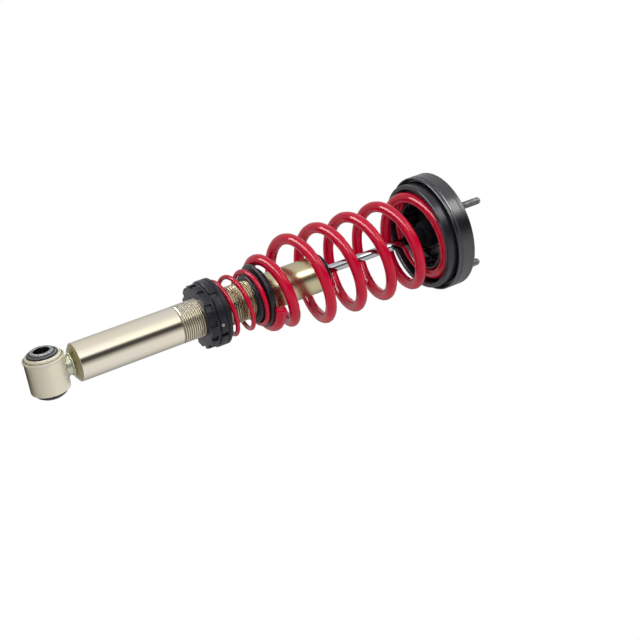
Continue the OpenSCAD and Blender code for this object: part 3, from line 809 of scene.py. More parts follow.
@dataclass
class LowerEye:
    """The eye with its rolled rim, weld neck, rubber bush and bolt sleeve."""

    ring_radius: float = 25.2
    rim_radius: float = 26.3
    shell_radius: float = 23.2
    bore_radius: float = 20.0
    eye_end: float = 22.6
    shell_end: float = 26.6
    neck_radius: float = 13.0
    neck_low: float = 19.5
    neck_top: float = 31.5
    sleeve_radius: float = 15.0
    sleeve_bore: float = 10.25
    sleeve_half: float = 31.5

    def ring(self) -> MeshObject:
        """Model the eye: a tube with a rolled rim, and the bush's shell within it."""
        ring, rim, shell, bore = (self.ring_radius, self.rim_radius, self.shell_radius,
                                  self.bore_radius)
        end, face = self.eye_end, self.shell_end
        outline = traced(
            (bore, 0.9 - face), (bore + 0.2, 0.3 - face),
            (9, (bore + 1.4, -0.3 - face), (shell, 1.2 - face), (shell, 3.2 - face)),
            (shell, 1.3 - end), (shell + 0.7, 1.3 - end),
            (6, (shell + 0.9, 0.9 - end), (shell + 1.0, -end), (shell + 1.3, -end),
             (shell + 1.7, -end)),
            (8, (rim - 0.3, -end), (rim, 0.7 - end), (rim, 1.6 - end)),
            (8, (rim, 3.0 - end), (ring, 3.2 - end), (ring, 4.8 - end)),
            (ring, 0.0), (ring, end - 1.8),
            (8, (ring, end - 0.6), (ring - 0.5, end), (ring - 1.8, end)),
            (bore + 0.5, end), (bore, end - 0.5))
        return smooth(turned("eye_shell", outline, 160, axis=Axis.X), 40)

    def neck(self) -> MeshObject:
        """Model the neck and the two weld beads that hold it."""
        neck = turned("eye_neck", [(self.neck_radius, self.neck_low),
                                   (self.neck_radius, self.neck_top)], 96, solid=True)
        lower = self.bead(22.4, 2.2, 31, True)
        upper = self.bead(self.neck_top + 0.2, 2.0, 37, False)
        return smooth(joined("eye_neck", [neck, lower, upper]), 40)

    def bead(self, height: float, radius: float, ripples: int, saddle: bool) -> MeshObject:
        """Model one weld bead as overlapping ripples round the neck.

        Args:
            height: Height of the bead's centre.
            radius: Radius of its section.
            ripples: Number of ripples.
            saddle: True where the bead follows the round of the eye.

        Returns:
            The bead.
        """
        only()
        bpy.ops.mesh.primitive_torus_add(
            major_segments=222, minor_segments=12, location=(0, 0, height * MM),
            major_radius=self.neck_radius * MM, minor_radius=radius * MM)

        def ripple(point: Vector) -> Vector:
            """Swell each ripple, and let the bead ride over the eye."""
            heading = math.atan2(point.y, point.x)
            flat = Vector((point.x, point.y, 0)).normalized() * self.neck_radius
            core = Vector((flat.x, flat.y, height))
            phase = (heading / math.tau * ripples) % 1.0
            swell = 0.86 + 0.16 * math.sqrt(max(0.0, 1 - (2 * phase - 1) ** 2))
            point = core + (point - core) * swell
            if saddle:
                drop = self.ring_radius - math.sqrt(
                    max(0.0, self.ring_radius ** 2 - core.y ** 2))
                point.z -= drop - 1.6
            return point

        return reshaped(added("bead"), ripple)

    def bush(self) -> MeshObject:
        """Model the rubber bush: a fat lip at each end and a ledge at the sleeve."""
        bore, inner = self.bore_radius - 0.05, self.sleeve_radius + 0.05
        side = traced(
            (bore, 0.0), (bore, 26.0),
            (7, (bore, 27.4), (19.3, 28.0), (18.6, 28.0)),
            (5, (17.9, 28.0), (17.9, 27.7), (17.7, 28.4)),
            (6, (17.5, 29.3), (17.2, 29.4), (16.4, 29.4)),
            (inner + 0.4, 29.4), (inner, 29.0))
        outline = side[::-1] + [(r, -x) for r, x in side[1:]]
        return smooth(turned("eye_bush", outline, axis=Axis.X), 50)

    def sleeve(self) -> MeshObject:
        """Model the bolt sleeve with its chamfered bore and turned ends."""
        end, bore, outer = self.sleeve_half, self.sleeve_bore, self.sleeve_radius
        side = [(bore, end - 1.0), (bore + 0.8, end), (outer - 2.2, end),
                (outer - 2.0, end - 0.2), (outer - 1.0, end - 0.2), (outer, end - 1.1)]
        outline = side + [(r, -x) for r, x in side[::-1]]
        sleeve = turned("bolt_sleeve", outline, axis=Axis.X)
        return smooth(bevelled(sleeve, 0.15, 1, 20), 25)

    def build(self) -> None:
        """Build and dress the eye's pieces."""
        fitted(self.ring(), "damper_body", EYE_ZINC, "zinc_gold", "eye_ring")
        fitted(self.neck(), "damper_body", NECK_ZINC, "zinc_gold")
        fitted(self.bush(), "damper_body", BUSH_RUBBER, "bush_rubber", "eye_bushing")
        fitted(self.sleeve(), "eye_sleeve", SLEEVE_STEEL, "zinc_steel", "bushing_sleeve")


# ---- Damper --------------------------------------------------------------


@dataclass
class Damper:
    """The damper's outside: base cap, threaded tube, seal cap and rod."""

    tube_radius: float = 25.4
    bore: float = 22.5
    tube_low: float = 37.9
    tube_high: float = 392.9
    thread_low: float = 177.9
    thread_high: float = 306.9
    thread_pitch: float = 3.0
    crest: float = 25.75
    root: float = 24.75
    rod_radius: float = 6.25
    rod_end_radius: float = 5.0
    rod_core: float = 4.45

    def base_cap(self) -> MeshObject:
        """Model the base cap's cone, which the tube is pushed over."""
        cap = turned("base_cone", [
            (13.9, 31.5), (14.5, 31.6), (19.7, 33.7), (25.05, 37.5),
            (self.tube_radius, self.tube_low), (self.bore, self.tube_low),
            (self.bore, 50.9)], 160, solid=True)
        return smooth(bevelled(cap, 0.4, 3, 20), 25)

    def tube(self) -> MeshObject:
        """Model the tube with its rolled thread."""
        low, high, outer, root = self.tube_low, self.tube_high, self.tube_radius, self.root
        step_low, step_high = self.thread_low, self.thread_high
        tube = turned("damper_body_tube", [
            (self.bore, low), (outer - 0.35, low), (outer, low + 0.5),
            (outer, step_low - 0.7), (root, step_low), (root, step_high),
            (outer, step_high + 0.7), (outer, high - 1.2), (outer - 0.4, high),
            (self.bore, high)], 160)
        wound = ridge("tube_thread", root, self.crest, self.thread_pitch,
                      step_low + 0.6, step_high - 0.6, 72)
        return joined("damper_body_tube", [smooth(tube, 20), smooth(wound, 40)])

    def seal_cap(self) -> MeshObject:
        """Model the black cap with its rod hole and spanner recess."""
        cap = turned("tube_seal_cap", [
            (6.55, 389.0), (6.55, 397.4), (7.6, 398.9), (12.0, 398.9), (12.6, 398.1),
            (13.4, 398.1), (14.0, 398.9), (24.2, 398.9), (25.6, 397.9), (25.8, 397.5),
            (25.8, self.tube_high), (self.bore, self.tube_high), (self.bore, 389.0)], 144)
        return smooth(bevelled(cap, 0.25, 2, 25), 28)

    def rod(self) -> MeshObject:
        """Model the rod: chromed shaft, threaded top end and hex socket."""
        outer, end, core = self.rod_radius, self.rod_end_radius, self.rod_core
        rod = turned("chromed_rod", [
            (3.5, 339.2), (4.0, 339.7), (4.0, 365.1), (outer - 0.6, 365.1),
            (outer, 365.7), (outer, 581.9), (outer - 0.5, 582.5), (end, 582.5),
            (end, 623.2), (core, 623.9), (core, 641.9), (core - 0.9, 642.8)],
            96, solid=True)
        cut(rod, turned("socket", [(2.88, 636.8), (2.88, 645.0)], 6, solid=True))
        smooth(bevelled(rod, 0.18, 1, 25), 25)
        wound = ridge("rod_thread", core, end, 1.25, 624.0, 641.8, 32)
        return joined("chromed_rod", [rod, smooth(wound, 40)])

    def build(self) -> None:
        """Build and dress the damper's outer pieces, and dress its inner ones."""
        fitted(self.base_cap(), "damper_body", CAP_ZINC_PAINTED_SHADE, "zinc_gold", "base_cap")
        fitted(self.tube(), "damper_body", TUBE_ZINC, "zinc_gold", "damper_tube")
        fitted(self.seal_cap(), "damper_body", BLACK_ANODISED, "black_alloy", "seal_cap")
        fitted(self.rod(), "rod", CHROME, "chromed_rod", "damper_rod")
        for finish, nodes in (
                (TURNED_ALLOY, ("piston", "rod_guide", "floating_piston")),
                (VALVE_STEEL, ("compression_shims", "rebound_shims", "retaining_ring")),
                (SEAL_RUBBER, ("rebound_bumper", "rod_seal", "floating_piston_ring")),
                (BEARING_STRIP, ("piston_band",)), (STUD_ZINC, ("piston_nut",))):
            for node in nodes:
                dressed(node, finish)


# ---- Adjusting collar ----------------------------------------------------


@dataclass
class Perch:
    """Lock ring, adjusting collar, its screw and the washer on top."""

    bore: float = 25.8
    lock_radius: float = 43.2
    lock_low: float = 208.5
    collar_low: float = 220.7
    collar_high: float = 236.7
    collar_radius: float = 45.4
    notch_width: float = 9.0
    notch_depth: float = 3.4
    notch_height: float = 8.05
    notches: int = 12
    slot_width: float = 6.5
    slot_height: float = 8.8
    lug_heading: float = 27.0
    slots: int = 5
    slot_heading: float = 291.0
    screw_heading: float = 273.0
    screw_height: float = 223.9
    screw_radius: float = 2.5
    washer_bore: float = 26.05
    washer_radius: float = 42.0
    washer_high: float = 238.7

    def bored(self, name: str, low: float, high: float, side: list[Point], sides: int,
              phase: float) -> MeshObject:
        """Turn a ring whose bore is chamfered at both ends.

        Args:
            name: The ring's name.
            low: Its lower face.
            high: Its upper face.
            side: The profile of its outside, from the lower face up.
            sides: Number of flats round it.
            phase: Turn of the first flat, in degrees.

        Returns:
            The ring.
        """
        wide = self.bore + 1.2
        return turned(name, [(wide, high), (self.bore, high - 1.2), (self.bore, low + 1.2),
                             (wide, low), *side], sides, phase=phase)

    def slotted(self, ring: MeshObject, size: Place, radius: float, low: float,
                first: float, count: int) -> MeshObject:
        """Cut slots up into a ring from below.

        Args:
            ring: The ring.
            size: A slot's depth, width and height in mm.
            radius: The ring's radius.
            low: The ring's lower face.
            first: The first slot's heading in degrees.
            count: Number of slots, evenly spaced.

        Returns:
            The ring.
        """
        depth, width, height = size
        slot = block("slot", (2 * depth, width, 2 * height), (radius, 0, low))
        return cut(ring, spaced(slot, [first + 360 / count * i for i in range(count)]))

    def lock_ring(self) -> MeshObject:
        """Model the lock ring, castellated from below."""
        low, high, outer = self.lock_low, self.collar_low, self.lock_radius
        ring = self.bored("castellated_lock_ring", low, high,
                          [(outer, low), (outer, high)], 120, 1.5)
        self.slotted(ring, (self.notch_depth, self.notch_width, self.notch_height),
                     outer, low, self.lug_heading, self.notches)
        return smooth(bevelled(ring, 0.45, 3, 28), 30)

    def collar(self) -> MeshObject:
        """Model the adjusting collar with its groove, spanner slots and screw hole."""
        low, high, outer = self.collar_low, self.collar_high, self.collar_radius
        collar = self.bored("spring_adjusting_collar", low, high, [
            (outer - 1, low), (outer, low + 1), (outer, 229.5), (outer - 1.2, 229.9),
            (outer - 1.2, 231.5), (outer, 231.9), (outer, high - 1), (outer - 1, high)],
            150, 0.7)
        self.slotted(collar, (self.notch_depth, self.slot_width, self.slot_height),
                     outer, low, self.slot_heading, self.slots)
        loose = self.screw_radius + 0.15
        hole = turned("hole", [(loose, 24.0), (loose, 60.0)], 32, solid=True, axis=Axis.X)
        cut(collar, self.aimed(hole))
        return smooth(bevelled(collar, 0.3, 2, 28), 30)

    def aimed(self, piece: MeshObject) -> MeshObject:
        """Lift a piece that lies along X to the screw's height and heading."""
        piece.rotation_euler = (0, 0, math.radians(self.screw_heading))
        return moved(piece, (0, 0, self.screw_height))

    def screw(self) -> MeshObject:
        """Model the set screw with its hex socket."""
        radius, outer = self.screw_radius, self.collar_radius - 0.6
        screw = turned("collar_set_screw", [
            (radius, 30.0), (radius, outer - 0.5), (radius - 0.5, outer)], 40,
            solid=True, axis=Axis.X)
        cut(screw, turned("socket", [(1.44, outer - 2.5), (1.44, outer + 2)], 6,
                          solid=True, axis=Axis.X))
        return smooth(self.aimed(bevelled(screw, 0.15, 1, 30)), 30)

    def washer(self) -> MeshObject:
        """Model the thrust washer under the helper spring."""
        bore, outer, low, high = (self.washer_bore, self.washer_radius, self.collar_high,
                                  self.washer_high)
        washer = turned("helper_thrust_washer", [
            (bore, low), (outer, low), (outer, high), (bore, high)])
        return smooth(bevelled(washer, 0.4, 3, 30), 30)

    def build(self) -> None:
        """Build and dress the collar group."""
        fitted(self.lock_ring(), "collar", BLACK_ANODISED, "black_alloy", "lock_ring")
        fitted(self.collar(), "collar", BLACK_ANODISED, "black_alloy", "adjusting_collar")
        fitted(self.screw(), "collar", BRIGHT_SCREW, "zinc_steel", "collar_screw")
        fitted(self.washer(), "perch", BLACK_ANODISED, "black_steel", "thrust_washer")


# ---- Springs -------------------------------------------------------------


@dataclass(frozen=True)
class Coil:
    """A wound spring: its wire, turns and how it climbs.

    The climb starts between the first two turns of rise and ends between its
    last two; radius gives the coil's radius at a turn.
    """

    name: str
    wire: float
    turns: float
    tip: float
    low: float
    high: float
    rise: tuple[float, float, float, float]
    radius: Callable[[float], float]
    end_round: float
    points_a_turn: int = 64

    def ramp(self, turn: float, start: float, end: float) -> float:
        """Turns climbed when the rate ramps up between two turns.

        Args:
            turn: Turns wound so far.
            start: Turn where the climb begins.
            end: Turn where it is at its full rate.

        Returns:
            The turns climbed.
        """
        if turn <= start:
            return 0.0
        if turn >= end:
            return turn - (start + end) / 2
        return (turn - start) ** 2 / (2 * (end - start))

    def climbed(self, turn: float) -> float:
        """Turns climbed so far, flat at both ends."""
        return self.ramp(turn, *self.rise[:2]) - self.ramp(turn, *self.rise[2:])

    def path(self) -> list[Vector]:
        """Trace the wire's centre line.

        Returns:
            Its points in mm, from the lower end up.
        """
        count, whole = round(self.turns * self.points_a_turn), self.climbed(self.turns)
        points = []
        for turn in (self.turns * i / count for i in range(count + 1)):
            rise = (self.high - self.low) * (self.climbed(turn) / whole)
            points.append(Vector((*polar(self.radius(turn), self.tip + 360 * turn),
                                  self.low + rise)))
        return points

    def mesh(self) -> MeshObject:
        """Draw the wire along its path and round its two cut ends.

        Returns:
            The wire as a mesh.
        """
        curve = bpy.data.curves.new(self.name, "CURVE")
        curve.dimensions = "3D"
        path = self.path()
        spline = curve.splines.new("POLY")
        spline.points.add(len(path) - 1)
        for point, place in zip(spline.points, path):
            point.co = (*(place * MM), 1.0)
        curve.bevel_depth = self.wire / 2 * MM
        curve.bevel_resolution = 5
        curve.use_fill_caps = True
        curve.twist_mode = "Z_UP"
        wire = bpy.data.objects.new(self.name, curve)
        bpy.context.scene.collection.objects.link(wire)
        only(wire)
        bpy.ops.object.convert(target="MESH")
        return smooth(bevelled(closed(bpy.context.object), self.end_round, 3, 50), 40)

    def bind(self, piece: MeshObject, fixed: str, moving: str) -> None:
        """Let the wire stretch between two bodies, each cross-section as one.

        Each vertex's weight follows the climb of the wire's centre line.

        Args:
            piece: The wire's mesh.
            fixed: The body at its lower end.
            moving: The body at its upper end.
        """
        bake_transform(piece, fixed, moving, start=(0, 0, self.low * MM),
                 end=(0, 0, self.high * MM))
        path = self.path()
        tree = KDTree(len(path))
        for i, place in enumerate(path):
            tree.insert(place * MM, i)
        tree.balance()
        weights = piece.data.attributes["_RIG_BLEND"]
        for vertex in piece.data.vertices:
            nearest = tree.find(vertex.co)[0]
            weights.data[vertex.index].value = (
                (nearest.z / MM - self.low) / (self.high - self.low))


def main_radius(turn: float) -> float:
    """Coil radius of the main spring: small on the coupler, less again in its seat."""
    return 45.5 + 14.7 * ease((turn - 0.9) / 0.9) - 2.7 * ease((turn - 5.2) / 0.9)


@dataclass
class Springs:
    """Main spring, helper spring and the coupler between them."""

    main: Coil = Coil("main_coil_spring", 15.2, 6.6, 282.0, 307.2, 567.4,
                      (0.36, 0.86, 5.7, 6.3), main_radius, 0.6, 80)
    helper: Coil = Coil("helper_coil_spring", 6.2, 3.4, 342.0, 241.8, 292.1,
                        (0.45, 0.8, 2.6, 2.95), lambda turn: 37.6, 0.35)
    coupler_bore: float = 26.25
    skirt_radius: float = 33.5
    skirt_low: float = 283.2
    flange_low: float = 295.2
    flange_radius: float = 43.8
    flange_high: float = 299.6
    hub_radius: float = 36.9
    hub_high: float = 306.6

    def coupler(self) -> MeshObject:
        """Model the coupler: skirt, flange with a shallow step, and hub."""
        bore, skirt, flange, hub = (self.coupler_bore, self.skirt_radius,
                                    self.flange_radius, self.hub_radius)
        foot, low, high, top = (self.skirt_low, self.flange_low, self.flange_high,
                                self.hub_high)
        coupler = turned("spring_slider", [
            (bore, foot + 1), (bore + 1, foot), (skirt - 1.2, foot), (skirt, foot + 1.2),
            (skirt, low - 0.6), (skirt + 0.6, low), (flange - 0.8, low),
            (flange, low + 0.8), (flange, high - 0.8), (flange - 0.8, high),
            (hub + 0.7, high), (hub, high + 0.7), (hub, top - 1.4), (hub - 1.4, top),
            (bore + 1, top), (bore, top - 1)], 144)
        return smooth(bevelled(coupler, 0.25, 2, 20), 25)

    def build(self) -> None:
        """Build and dress both springs and the coupler."""
        for coil, node, fixed, moving in (
                (self.main, "main_spring", "coupler", "top_mount"),
                (self.helper, "helper_spring", "perch", "coupler")):
            piece = coil.mesh()
            piece.data.materials.append(RED_COAT.material())
            coil.bind(piece, fixed, moving)
            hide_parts(node)
            LOG.info("%s stretches from %s to %s", piece.name, fixed, moving)
        fitted(self.coupler(), "coupler", BLACK_ANODISED, "bearing_plastic",
               "spring_coupler")


# ---- Top mount -----------------------------------------------------------


@dataclass
class TopMount:
    """Rubber spring seat, pressed shell and plate, studs, bushing and rod nut.

    A panel is a raised arc of the plate: its inner and outer radius, the headings
    of its ends and its lift.
    """

    radius: float = 82.4
    stud_circle: float = 62.5
    stud_headings: tuple[float, ...] = (100.0, 228.0, 332.0)
    stud_radius: float = 5.0
    pad_radius: float = 12.4
    pan_under: float = 582.0
    pan_top: float = 585.0
    plate_under: float = 590.5
    inner_face: float = 591.0
    ring_face: float = 593.5
    face: float = 596.0
    dome_top: float = 626.5
    nut_low: float = 624.8
    washer_low: float = 622.3
    rod_radius: float = 5.0
    panels: tuple[tuple[float, float, float, float, float], ...] = (
        (59.6, 70.0, 138.0, 198.5, 1.7), (56.4, 68.6, 259.0, 302.0, 1.7),
        (53.6, 56.4, 36.0, 71.0, 1.0))
    dimple_circle: float = 45.0
    dimple_headings: tuple[float, ...] = (355.0, 33.0, 72.0, 139.0, 173.0, 204.0, 260.0,
                                          294.0)

    def seat(self) -> MeshObject:
        """Model the ribbed rubber seat."""
        low, side, top = 555.0, 75.45, self.pan_under
        seat = turned("ribbed_spring_seat", traced(
            (45.0, top), (45.0, 563.0), (45.8, 561.0), (48.2, 561.0), (49.3, 562.4),
            (49.3, 575.0), (68.5, 575.0), (68.5, low + 2.2), (69.6, low + 0.2),
            (6, (73.4, low), (74.8, low), (side, low + 0.8), (side, low + 2.4)),
            (side, low + 3.2), (side, 575.6), (79.9, 575.6), (79.9, top)), 192)
        bevelled(seat, 0.5, 2, 24)
        rib = bevelled(block("seat_rib", (3.5, 2.4, 17.5), (44.25, 0, 573.2)), 0.7)
        ribs = spaced(rib, [18.0 * i for i in range(20)])
        return smooth(joined("ribbed_spring_seat", [seat, ribs]), 30)

    def shell(self) -> MeshObject:
        """Model the pressed shell with its rolled foot bead and step."""
        r, low, pan, under = self.radius, 568.6, self.pan_top, self.plate_under
        inner, groove = r - 2.5, r - 1.0
        return smooth(turned("pressed_mount_shell", traced(
            (inner, self.pan_under), (inner, low + 0.9), (inner + 0.9, low),
            (6, (r - 1.2, low), (r - 0.3, low), (r, low + 0.7), (r, low + 2.2)),
            (6, (r, low + 3.0), (r, low + 4.0), (groove + 0.3, low + 4.4),
             (groove, low + 5.1)),
            (6, (groove, low + 5.5), (groove, low + 6.2), (r, low + 6.4), (r, low + 8.0)),
            (r, low + 8.8), (r, 588.2), (r, 588.8), (r - 0.2, 589.6), (r - 0.2, under),
            (inner, under), (inner, pan), (53.0, pan), (49.0, 588.0), (24.0, 588.0),
            (24.0, pan), (47.0, pan), (51.0, self.pan_under)), 240), 28)

    def panel_lift(self, distance: float, heading: float,
                   panel: tuple[float, float, float, float, float]) -> float:
        """How far one panel lifts a place on the plate.

        Args:
            distance: The place's distance from the axis, mm.
            heading: Its heading in degrees.
            panel: The panel, which has round ends.

        Returns:
            The lift in mm.
        """
        inner, outer, start, end, lift = panel
        middle, half = (inner + outer) / 2, (outer - inner) / 2
        span, width = (heading - start) % 360, (end - start) % 360
        beyond = 0.0 if span <= width else min(span - width, 360 - span)
        along = math.radians(beyond) * middle
        reach = math.hypot(along, abs(distance - middle))
        return lift * (1 - ease((reach - half + 1.1) / 2.2))

    def plate_height(self, x: float, y: float) -> float:
        """How far the plate's top is pressed up or down from its turned form.

        Args:
            x: Place across, mm.
            y: Place along, mm.

        Returns:
            The lift in mm.
        """
        distance = math.hypot(x, y)
        heading = math.degrees(math.atan2(y, x)) % 360
        lift = max(self.panel_lift(distance, heading, panel) for panel in self.panels)
        for angle in self.dimple_headings:
            away = math.dist((x, y), polar(self.dimple_circle, angle))
            lift += 0.5 * math.exp(-((away - 3.0) / 0.8) ** 2)
            lift -= 1.3 * (1 - ease((away - 1.1) / 1.4))
        return lift

    def plate_profile(self) -> list[Point]:
        """The plate's turned form: rim, ring, step, dome, recess and underside."""
        r, under, face, dome = self.radius, self.plate_under, self.face, self.dome_top
        ring, inner = self.ring_face, self.inner_face
        return traced(
            (r, under), (r, 593.6), (r, 594.2),
            (7, (r, 595.3), (81.7, face), (80.6, face)), (75.8, face),
            (7, (74.4, face), (74.0, ring), (72.2, ring)),
            *((71.5 - 0.9 * i, ring) for i in range(21)),
            (6, (53.5, ring), (51.6, ring), (51.4, inner), (49.8, inner)),
            *((49.0 - 0.62 * i, inner) for i in range(16)),
            (5, (39.7, inner), (37.9, inner), (37.5, 591.6), (37.3, 594.4)),
            (36.1, 604.4), (35.1, 612.6),
            (14, (34.2, 621.2), (28.2, 625.8), (18.0, dome)),
            (6, (15.4, dome + 0.1), (13.6, dome + 0.1), (13.5, 624.6)),
            (13.5, 622.0), (10.6, 622.0), (10.6, 619.6), (15.2, 619.6), (16.5, 621.2),
            (16.5, 623.4), (25.2, 622.0), (31.0, 618.0), (33.4, 612.6), (35.4, 593.0),
            (36.0, 588.2), (49.2, 588.2), (51.4, under))

    def plate(self) -> MeshObject:
        """Model the pressed plate: panels, stud pads, clinched dimples and holes."""
        plate = turned("pressed_top_plate", self.plate_profile(), 360)

        def press(point: Vector) -> Vector:
            """Press the forms into the plate's upper side."""
            place = (point.x, point.y)
            if point.z < self.inner_face - 0.1 or not 40.0 < math.hypot(*place) < 73.5:
                return point
            height = point.z + self.plate_height(*place)
            pad = max(1 - ease((math.dist(place, polar(self.stud_circle, angle))
                                - self.pad_radius + 1.2) / 2.4)
                      for angle in self.stud_headings)
            return Vector((*place, height + (self.face - height) * pad))

        reshaped(plate, press)
        hole = turned("hole", [(2.9, 589.0), (2.9, 599.0)], 32, solid=True)
        cut(plate, moved(hole, (*polar(56.4, 14.0), 0.0)))
        cut(plate, block("slot", (2.2, 6.0, 10.0), (64.6, 0, 594.0), 248.0))
        return smooth(plate, 32)

    def studs(self) -> MeshObject:
        """Model the three pressed-in studs with their rolled threads."""
        outer, core, made = self.stud_radius, self.stud_radius * 0.86, []
        for angle in self.stud_headings:
            at = polar(self.stud_circle, angle)
            stud = turned("stud", [
                (7.2, 587.9), (8.0, 588.5), (8.0, self.plate_under),
                (5.6, self.plate_under), (5.6, 595.9), (outer, self.face), (outer, 599.0),
                (core, 600.0), (core, 632.8), (core - 0.5, 633.6), (core - 0.5, 634.6),
                (core - 0.9, 635.0)], 48, solid=True)
            wound = ridge("thread", core, outer, 1.5, 599.8, 633.2, 32, at)
            made += [smooth(moved(stud, (*at, 0.0)), 25), smooth(wound, 40)]
        return joined("mount_stud_set", made)

    def bushing(self) -> MeshObject:
        """Model the rubber bushing that fills the dome round the spacer."""
        bushing = turned("dome_bushing", [
            (10.05, 585.3), (23.95, 585.3), (23.95, 588.4), (35.2, 588.4), (33.2, 612.4),
            (30.8, 617.8), (25.0, 621.7), (16.5, 619.4), (12.4, 619.4), (10.05, 618.4)], 96)
        return smooth(bevelled(bushing, 0.5), 30)

    def clamped(self, name: str, outer: float, low: float, high: float, sides: int,
                width: float, segments: int) -> MeshObject:
        """Model a sleeve or washer that is clamped on the rod's end.

        Args:
            name: The piece's name.
            outer: Its outer radius.
            low: Its lower face.
            high: Its upper face.
            sides: Number of flats round it.
            width: Width of its rounded edges.
            segments: Steps across a rounded edge.

        Returns:
            The piece.
        """
        ring = turned(name, [(self.rod_radius, low), (outer, low), (outer, high),
                             (self.rod_radius, high)], sides)
        return smooth(bevelled(ring, width, segments))

    def nut(self) -> MeshObject:
        """Model the hex nut with its chamfered corners and flange face."""
        low, high = self.nut_low, 633.8
        corner = 17.0 / math.sqrt(3)
        nut = turned("rod_hex_nut", [
            (4.8, low + 0.5), (5.6, low), (corner, low), (corner, high), (5.6, high),
            (4.8, high - 0.5)], 6)
        lens = turned("lens", [
            (8.1, low - 0.1), (9.0, low + 0.3), (10.2, low + 1.2), (10.2, high - 1.2),
            (9.0, high - 0.3), (8.1, high + 0.1)], 96, solid=True)
        return smooth(bevelled(cut(nut, lens, "INTERSECT"), 0.18, 2, 25), 25)

    def stop(self) -> MeshObject:
        """Model the foam bump stop with its waist."""
        low, length, r, bore = 551.9, 30.6, 19.0, 6.3
        top = low + length
        return smooth(turned("foam_bump_stop", traced(
            (bore, low), (r * 0.55, low),
            (10, (r * 0.82, low), (r * 0.84, low + 0.2 * length),
             (r * 0.68, low + 0.34 * length)),
            (8, (r * 0.86, low + 0.4 * length), (r, low + 0.46 * length),
             (r, low + 0.62 * length)),
            (r, top - 0.6), (r - 0.6, top), (bore, top)), 96), 50)

    def build(self) -> None:
        """Build and dress the top mount."""
        fitted(self.seat(), "top_mount", SEAT_RUBBER, "seat_rubber", "spring_isolator")
        fitted(self.shell(), "top_mount", GLOSS_BLACK, "black_paint", "mount_shell")
        fitted(self.plate(), "top_mount", GLOSS_BLACK, "black_paint", "top_plate")
        fitted(self.studs(), "top_mount", STUD_ZINC, "zinc_steel", "mount_studs")
        fitted(self.bushing(), "top_mount", BUSH_RUBBER, "bush_rubber", "mount_bushing")
        fitted(self.clamped("clamp_spacer", 10.0, self.pan_top, self.washer_low, 72, 0.4, 2),
               "rod", STUD_ZINC, "zinc_steel", "mount_spacer")
        fitted(self.clamped("nut_washer", 12.5, self.washer_low, self.nut_low, 96, 0.45, 3),
               "rod", BLACK_ZINC, "black_steel", "upper_washer")
        fitted(self.clamped("stop_washer", 20.0, 582.5, self.pan_top, 96, 0.45, 3),
               "rod", STUD_ZINC, "zinc_steel", "lower_washer")
        fitted(self.nut(), "rod", BLACK_ZINC, "black_steel", "rod_nut")
        fitted(self.stop(), "rod", STOP_FOAM, "foam", "bump_stop")


# ---- Studio --------------------------------------------------------------


@dataclass(frozen=True)
class Lamp:
    """One soft lamp, aimed at a point.

    Polished pieces show it where mirrored is set, and it gives plain light where
    lights is set.
    """

    name: str
    place: Place
    aim: Place
    size: tuple[float, float]
    power: float
    mirrored: bool
    lights: bool = True


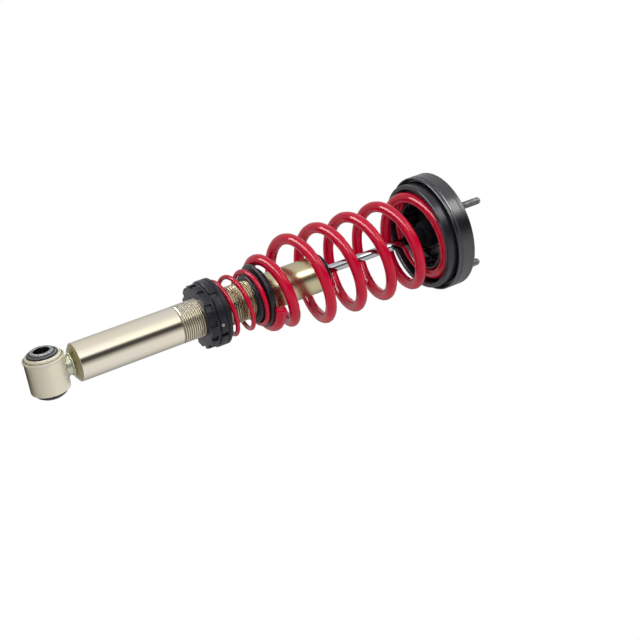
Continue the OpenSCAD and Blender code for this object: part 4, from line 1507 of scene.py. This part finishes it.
@dataclass
class Studio:
    """Camera, pale floor, soft lamps and a white world with a dark flag.

    The shades are what polished pieces show of the world: a level at each heading,
    in degrees from the camera's. The bar is a strip of light on the floor.
    """

    eye: Place = (-0.6659, -1.4524, -0.3536)
    right: Place = (0.14718, -0.50585, 0.85)
    down: Place = (0.89995, -0.28812, -0.3272)
    lens: float = 73.125
    floor_height: float = -0.0264
    floor_radius: float = 6.0
    glow: float = 0.42
    bar_light: float = 15.0
    lamps: tuple[Lamp, ...] = (
        Lamp("key_softbox", (-1.82, -1.05, 1.05), (0, 0, 0.33), (0.6, 1.6), 22.0, False),
        Lamp("fill_softbox", (1.04, -1.48, 0.50), (0, 0, 0.3), (1.2, 1.2), 6.0, False),
        Lamp("top_softbox", (0.21, 0.73, 1.90), (0, 0, 0.45), (1.2, 1.2), 12.0, True),
        Lamp("mount_softbox", (-0.654, -0.461, 0.94), (0, 0, 0.58), (0.34, 0.26), 1.25, True,
             False),
    )
    shades: tuple[tuple[float, float], ...] = (
        (-180, 0.42), (-160, 0.54), (-144, 0.62), (-112, 0.84), (-80, 0.94), (-60, 1.0),
        (-40, 1.28), (-20, 1.5), (-13, 1.4), (-3, 0.14), (4, 0.07), (16, 0.08), (32, 0.6),
        (46, 0.98), (84, 0.98), (112, 0.8), (140, 0.48), (160, 0.34), (180, 0.42))

    def camera(self) -> None:
        """Place the camera."""
        data = bpy.data.cameras.new("camera")
        data.lens, data.sensor_width = self.lens, 36.0
        data.clip_start, data.clip_end = 0.05, 40.0
        camera = bpy.data.objects.new("camera", data)
        right, down = Vector(self.right).normalized(), Vector(self.down)
        forward = right.cross(down).normalized()
        up = -forward.cross(right).normalized()
        rotation = Matrix((right, up, -forward)).transposed()
        camera.matrix_world = Matrix.Translation(self.eye) @ rotation.to_4x4()
        bpy.context.scene.collection.objects.link(camera)
        bpy.context.scene.camera = camera

    def light(self) -> None:
        """Hang the soft lamps."""
        for lamp in self.lamps:
            data = bpy.data.lights.new(lamp.name, "AREA")
            data.shape, (data.size, data.size_y) = "RECTANGLE", lamp.size
            data.energy = lamp.power
            holder = bpy.data.objects.new(lamp.name, data)
            holder.location = lamp.place
            holder.visible_glossy = lamp.mirrored
            holder.visible_diffuse = lamp.lights
            heading = Vector(lamp.aim) - Vector(lamp.place)
            holder.rotation_euler = heading.to_track_quat("-Z", "Y").to_euler()
            bpy.context.scene.collection.objects.link(holder)

    def along_and_beside(self, recipe: Recipe, place: Signal) -> list[Signal]:
        """Measure a place towards the camera and square to that, both level.

        Args:
            recipe: The recipe to add to.
            place: The place or direction.

        Returns:
            The two measures.
        """
        across = Vector(self.down).cross(Vector(self.right))
        ahead = Vector((across.x, across.y, 0)).normalized()
        return [recipe.vector("DOT_PRODUCT", place, tuple(way))
                for way in (ahead, Vector((-ahead.y, ahead.x, 0)))]

    def world(self) -> None:
        """Make a white world with a dark flag and soft shade for metal to show."""
        world = bpy.data.worlds.new("white_studio")
        bpy.context.scene.world = world
        world.use_nodes = True
        recipe = Recipe(world.node_tree)
        facing, beside = self.along_and_beside(
            recipe, recipe.signal("TexCoord", out="Generated"))
        turn = beside.angle_from(facing) / math.tau + 0.5
        stops = [((heading + 180) / 360, (level,) * 3) for heading, level in self.shades]
        graded = recipe.signal("ValToRGB", {"stops": stops}, (turn,))
        lit, mirrored, seen = (recipe.signal("Background", None, sockets) for sockets in (
            (WHITE, self.glow), (graded, 1.0), (WHITE, 1.0)))
        path = recipe.signal("LightPath")
        first = recipe.signal("MixShader", None, (
            path.output("Is Glossy Ray"), lit, mirrored))
        straight = path.output("Is Camera Ray") + path.output("Is Transmission Ray")
        last = recipe.signal("MixShader", None, (straight, first, seen))
        recipe.node("OutputWorld", None, (last,))

    def floor(self) -> None:
        """Lay a pale floor under the eye, which can't be seen from below."""
        only()
        bpy.ops.mesh.primitive_circle_add(
            vertices=96, radius=self.floor_radius, fill_type="NGON",
            location=(0, 0, self.floor_height))
        floor = added("studio_floor")
        recipe = SurfaceRecipe("pale_floor")
        place = recipe.place()
        recipe.set(Base_Color=recipe.mix(recipe.noise(place, 3.0), srgb(236, 236, 236),
                                         srgb(240, 240, 240)),
                   Roughness=0.6, Specular_IOR_Level=0.2)
        far = recipe.vector("LENGTH", place).band(0.55, 1.6)
        path = recipe.signal("LightPath")
        glossy = path.output("Is Glossy Ray")
        shown = far * (path.output("Is Camera Ray") + glossy * 0.4)
        along, side = self.along_and_beside(recipe, place)
        bar = (glossy * side.between(-0.98, -0.36, 0.1, 0.08)
               * along.between(-0.3, 2.6, 0.1, 0.4))
        white = recipe.signal("Emission", None, (
            recipe.mix(bar, WHITE, (1 + self.bar_light,) * 3), 1.0))
        fade = recipe.signal("MixShader", None, (
            1 - (1 - shown) * (1 - bar), recipe.surface, white))
        under = recipe.signal("NewGeometry", out="Backfacing")
        clear = recipe.signal("BsdfTransparent")
        recipe.feed(recipe.output.inputs[0],
                    recipe.signal("MixShader", None, (under, fade, clear)))
        floor.data.materials.append(recipe.material)

    def build(self) -> None:
        """Set up the camera, the lamps, the world and the floor."""
        self.camera()
        self.light()
        self.world()
        self.floor()
        bpy.context.scene.view_settings.view_transform = "Standard"


def main() -> None:
    """Build the strut from its lower eye to its top mount, then the studio."""
    logging.basicConfig(level=logging.INFO, format="%(name)s: %(message)s")
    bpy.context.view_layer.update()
    for assembly in (LowerEye(), Damper(), Perch(), Springs(), TopMount(), Studio()):
        assembly.build()
        LOG.info("%s is done", type(assembly).__name__)
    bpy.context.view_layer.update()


if __name__ == "__main__":
    main()
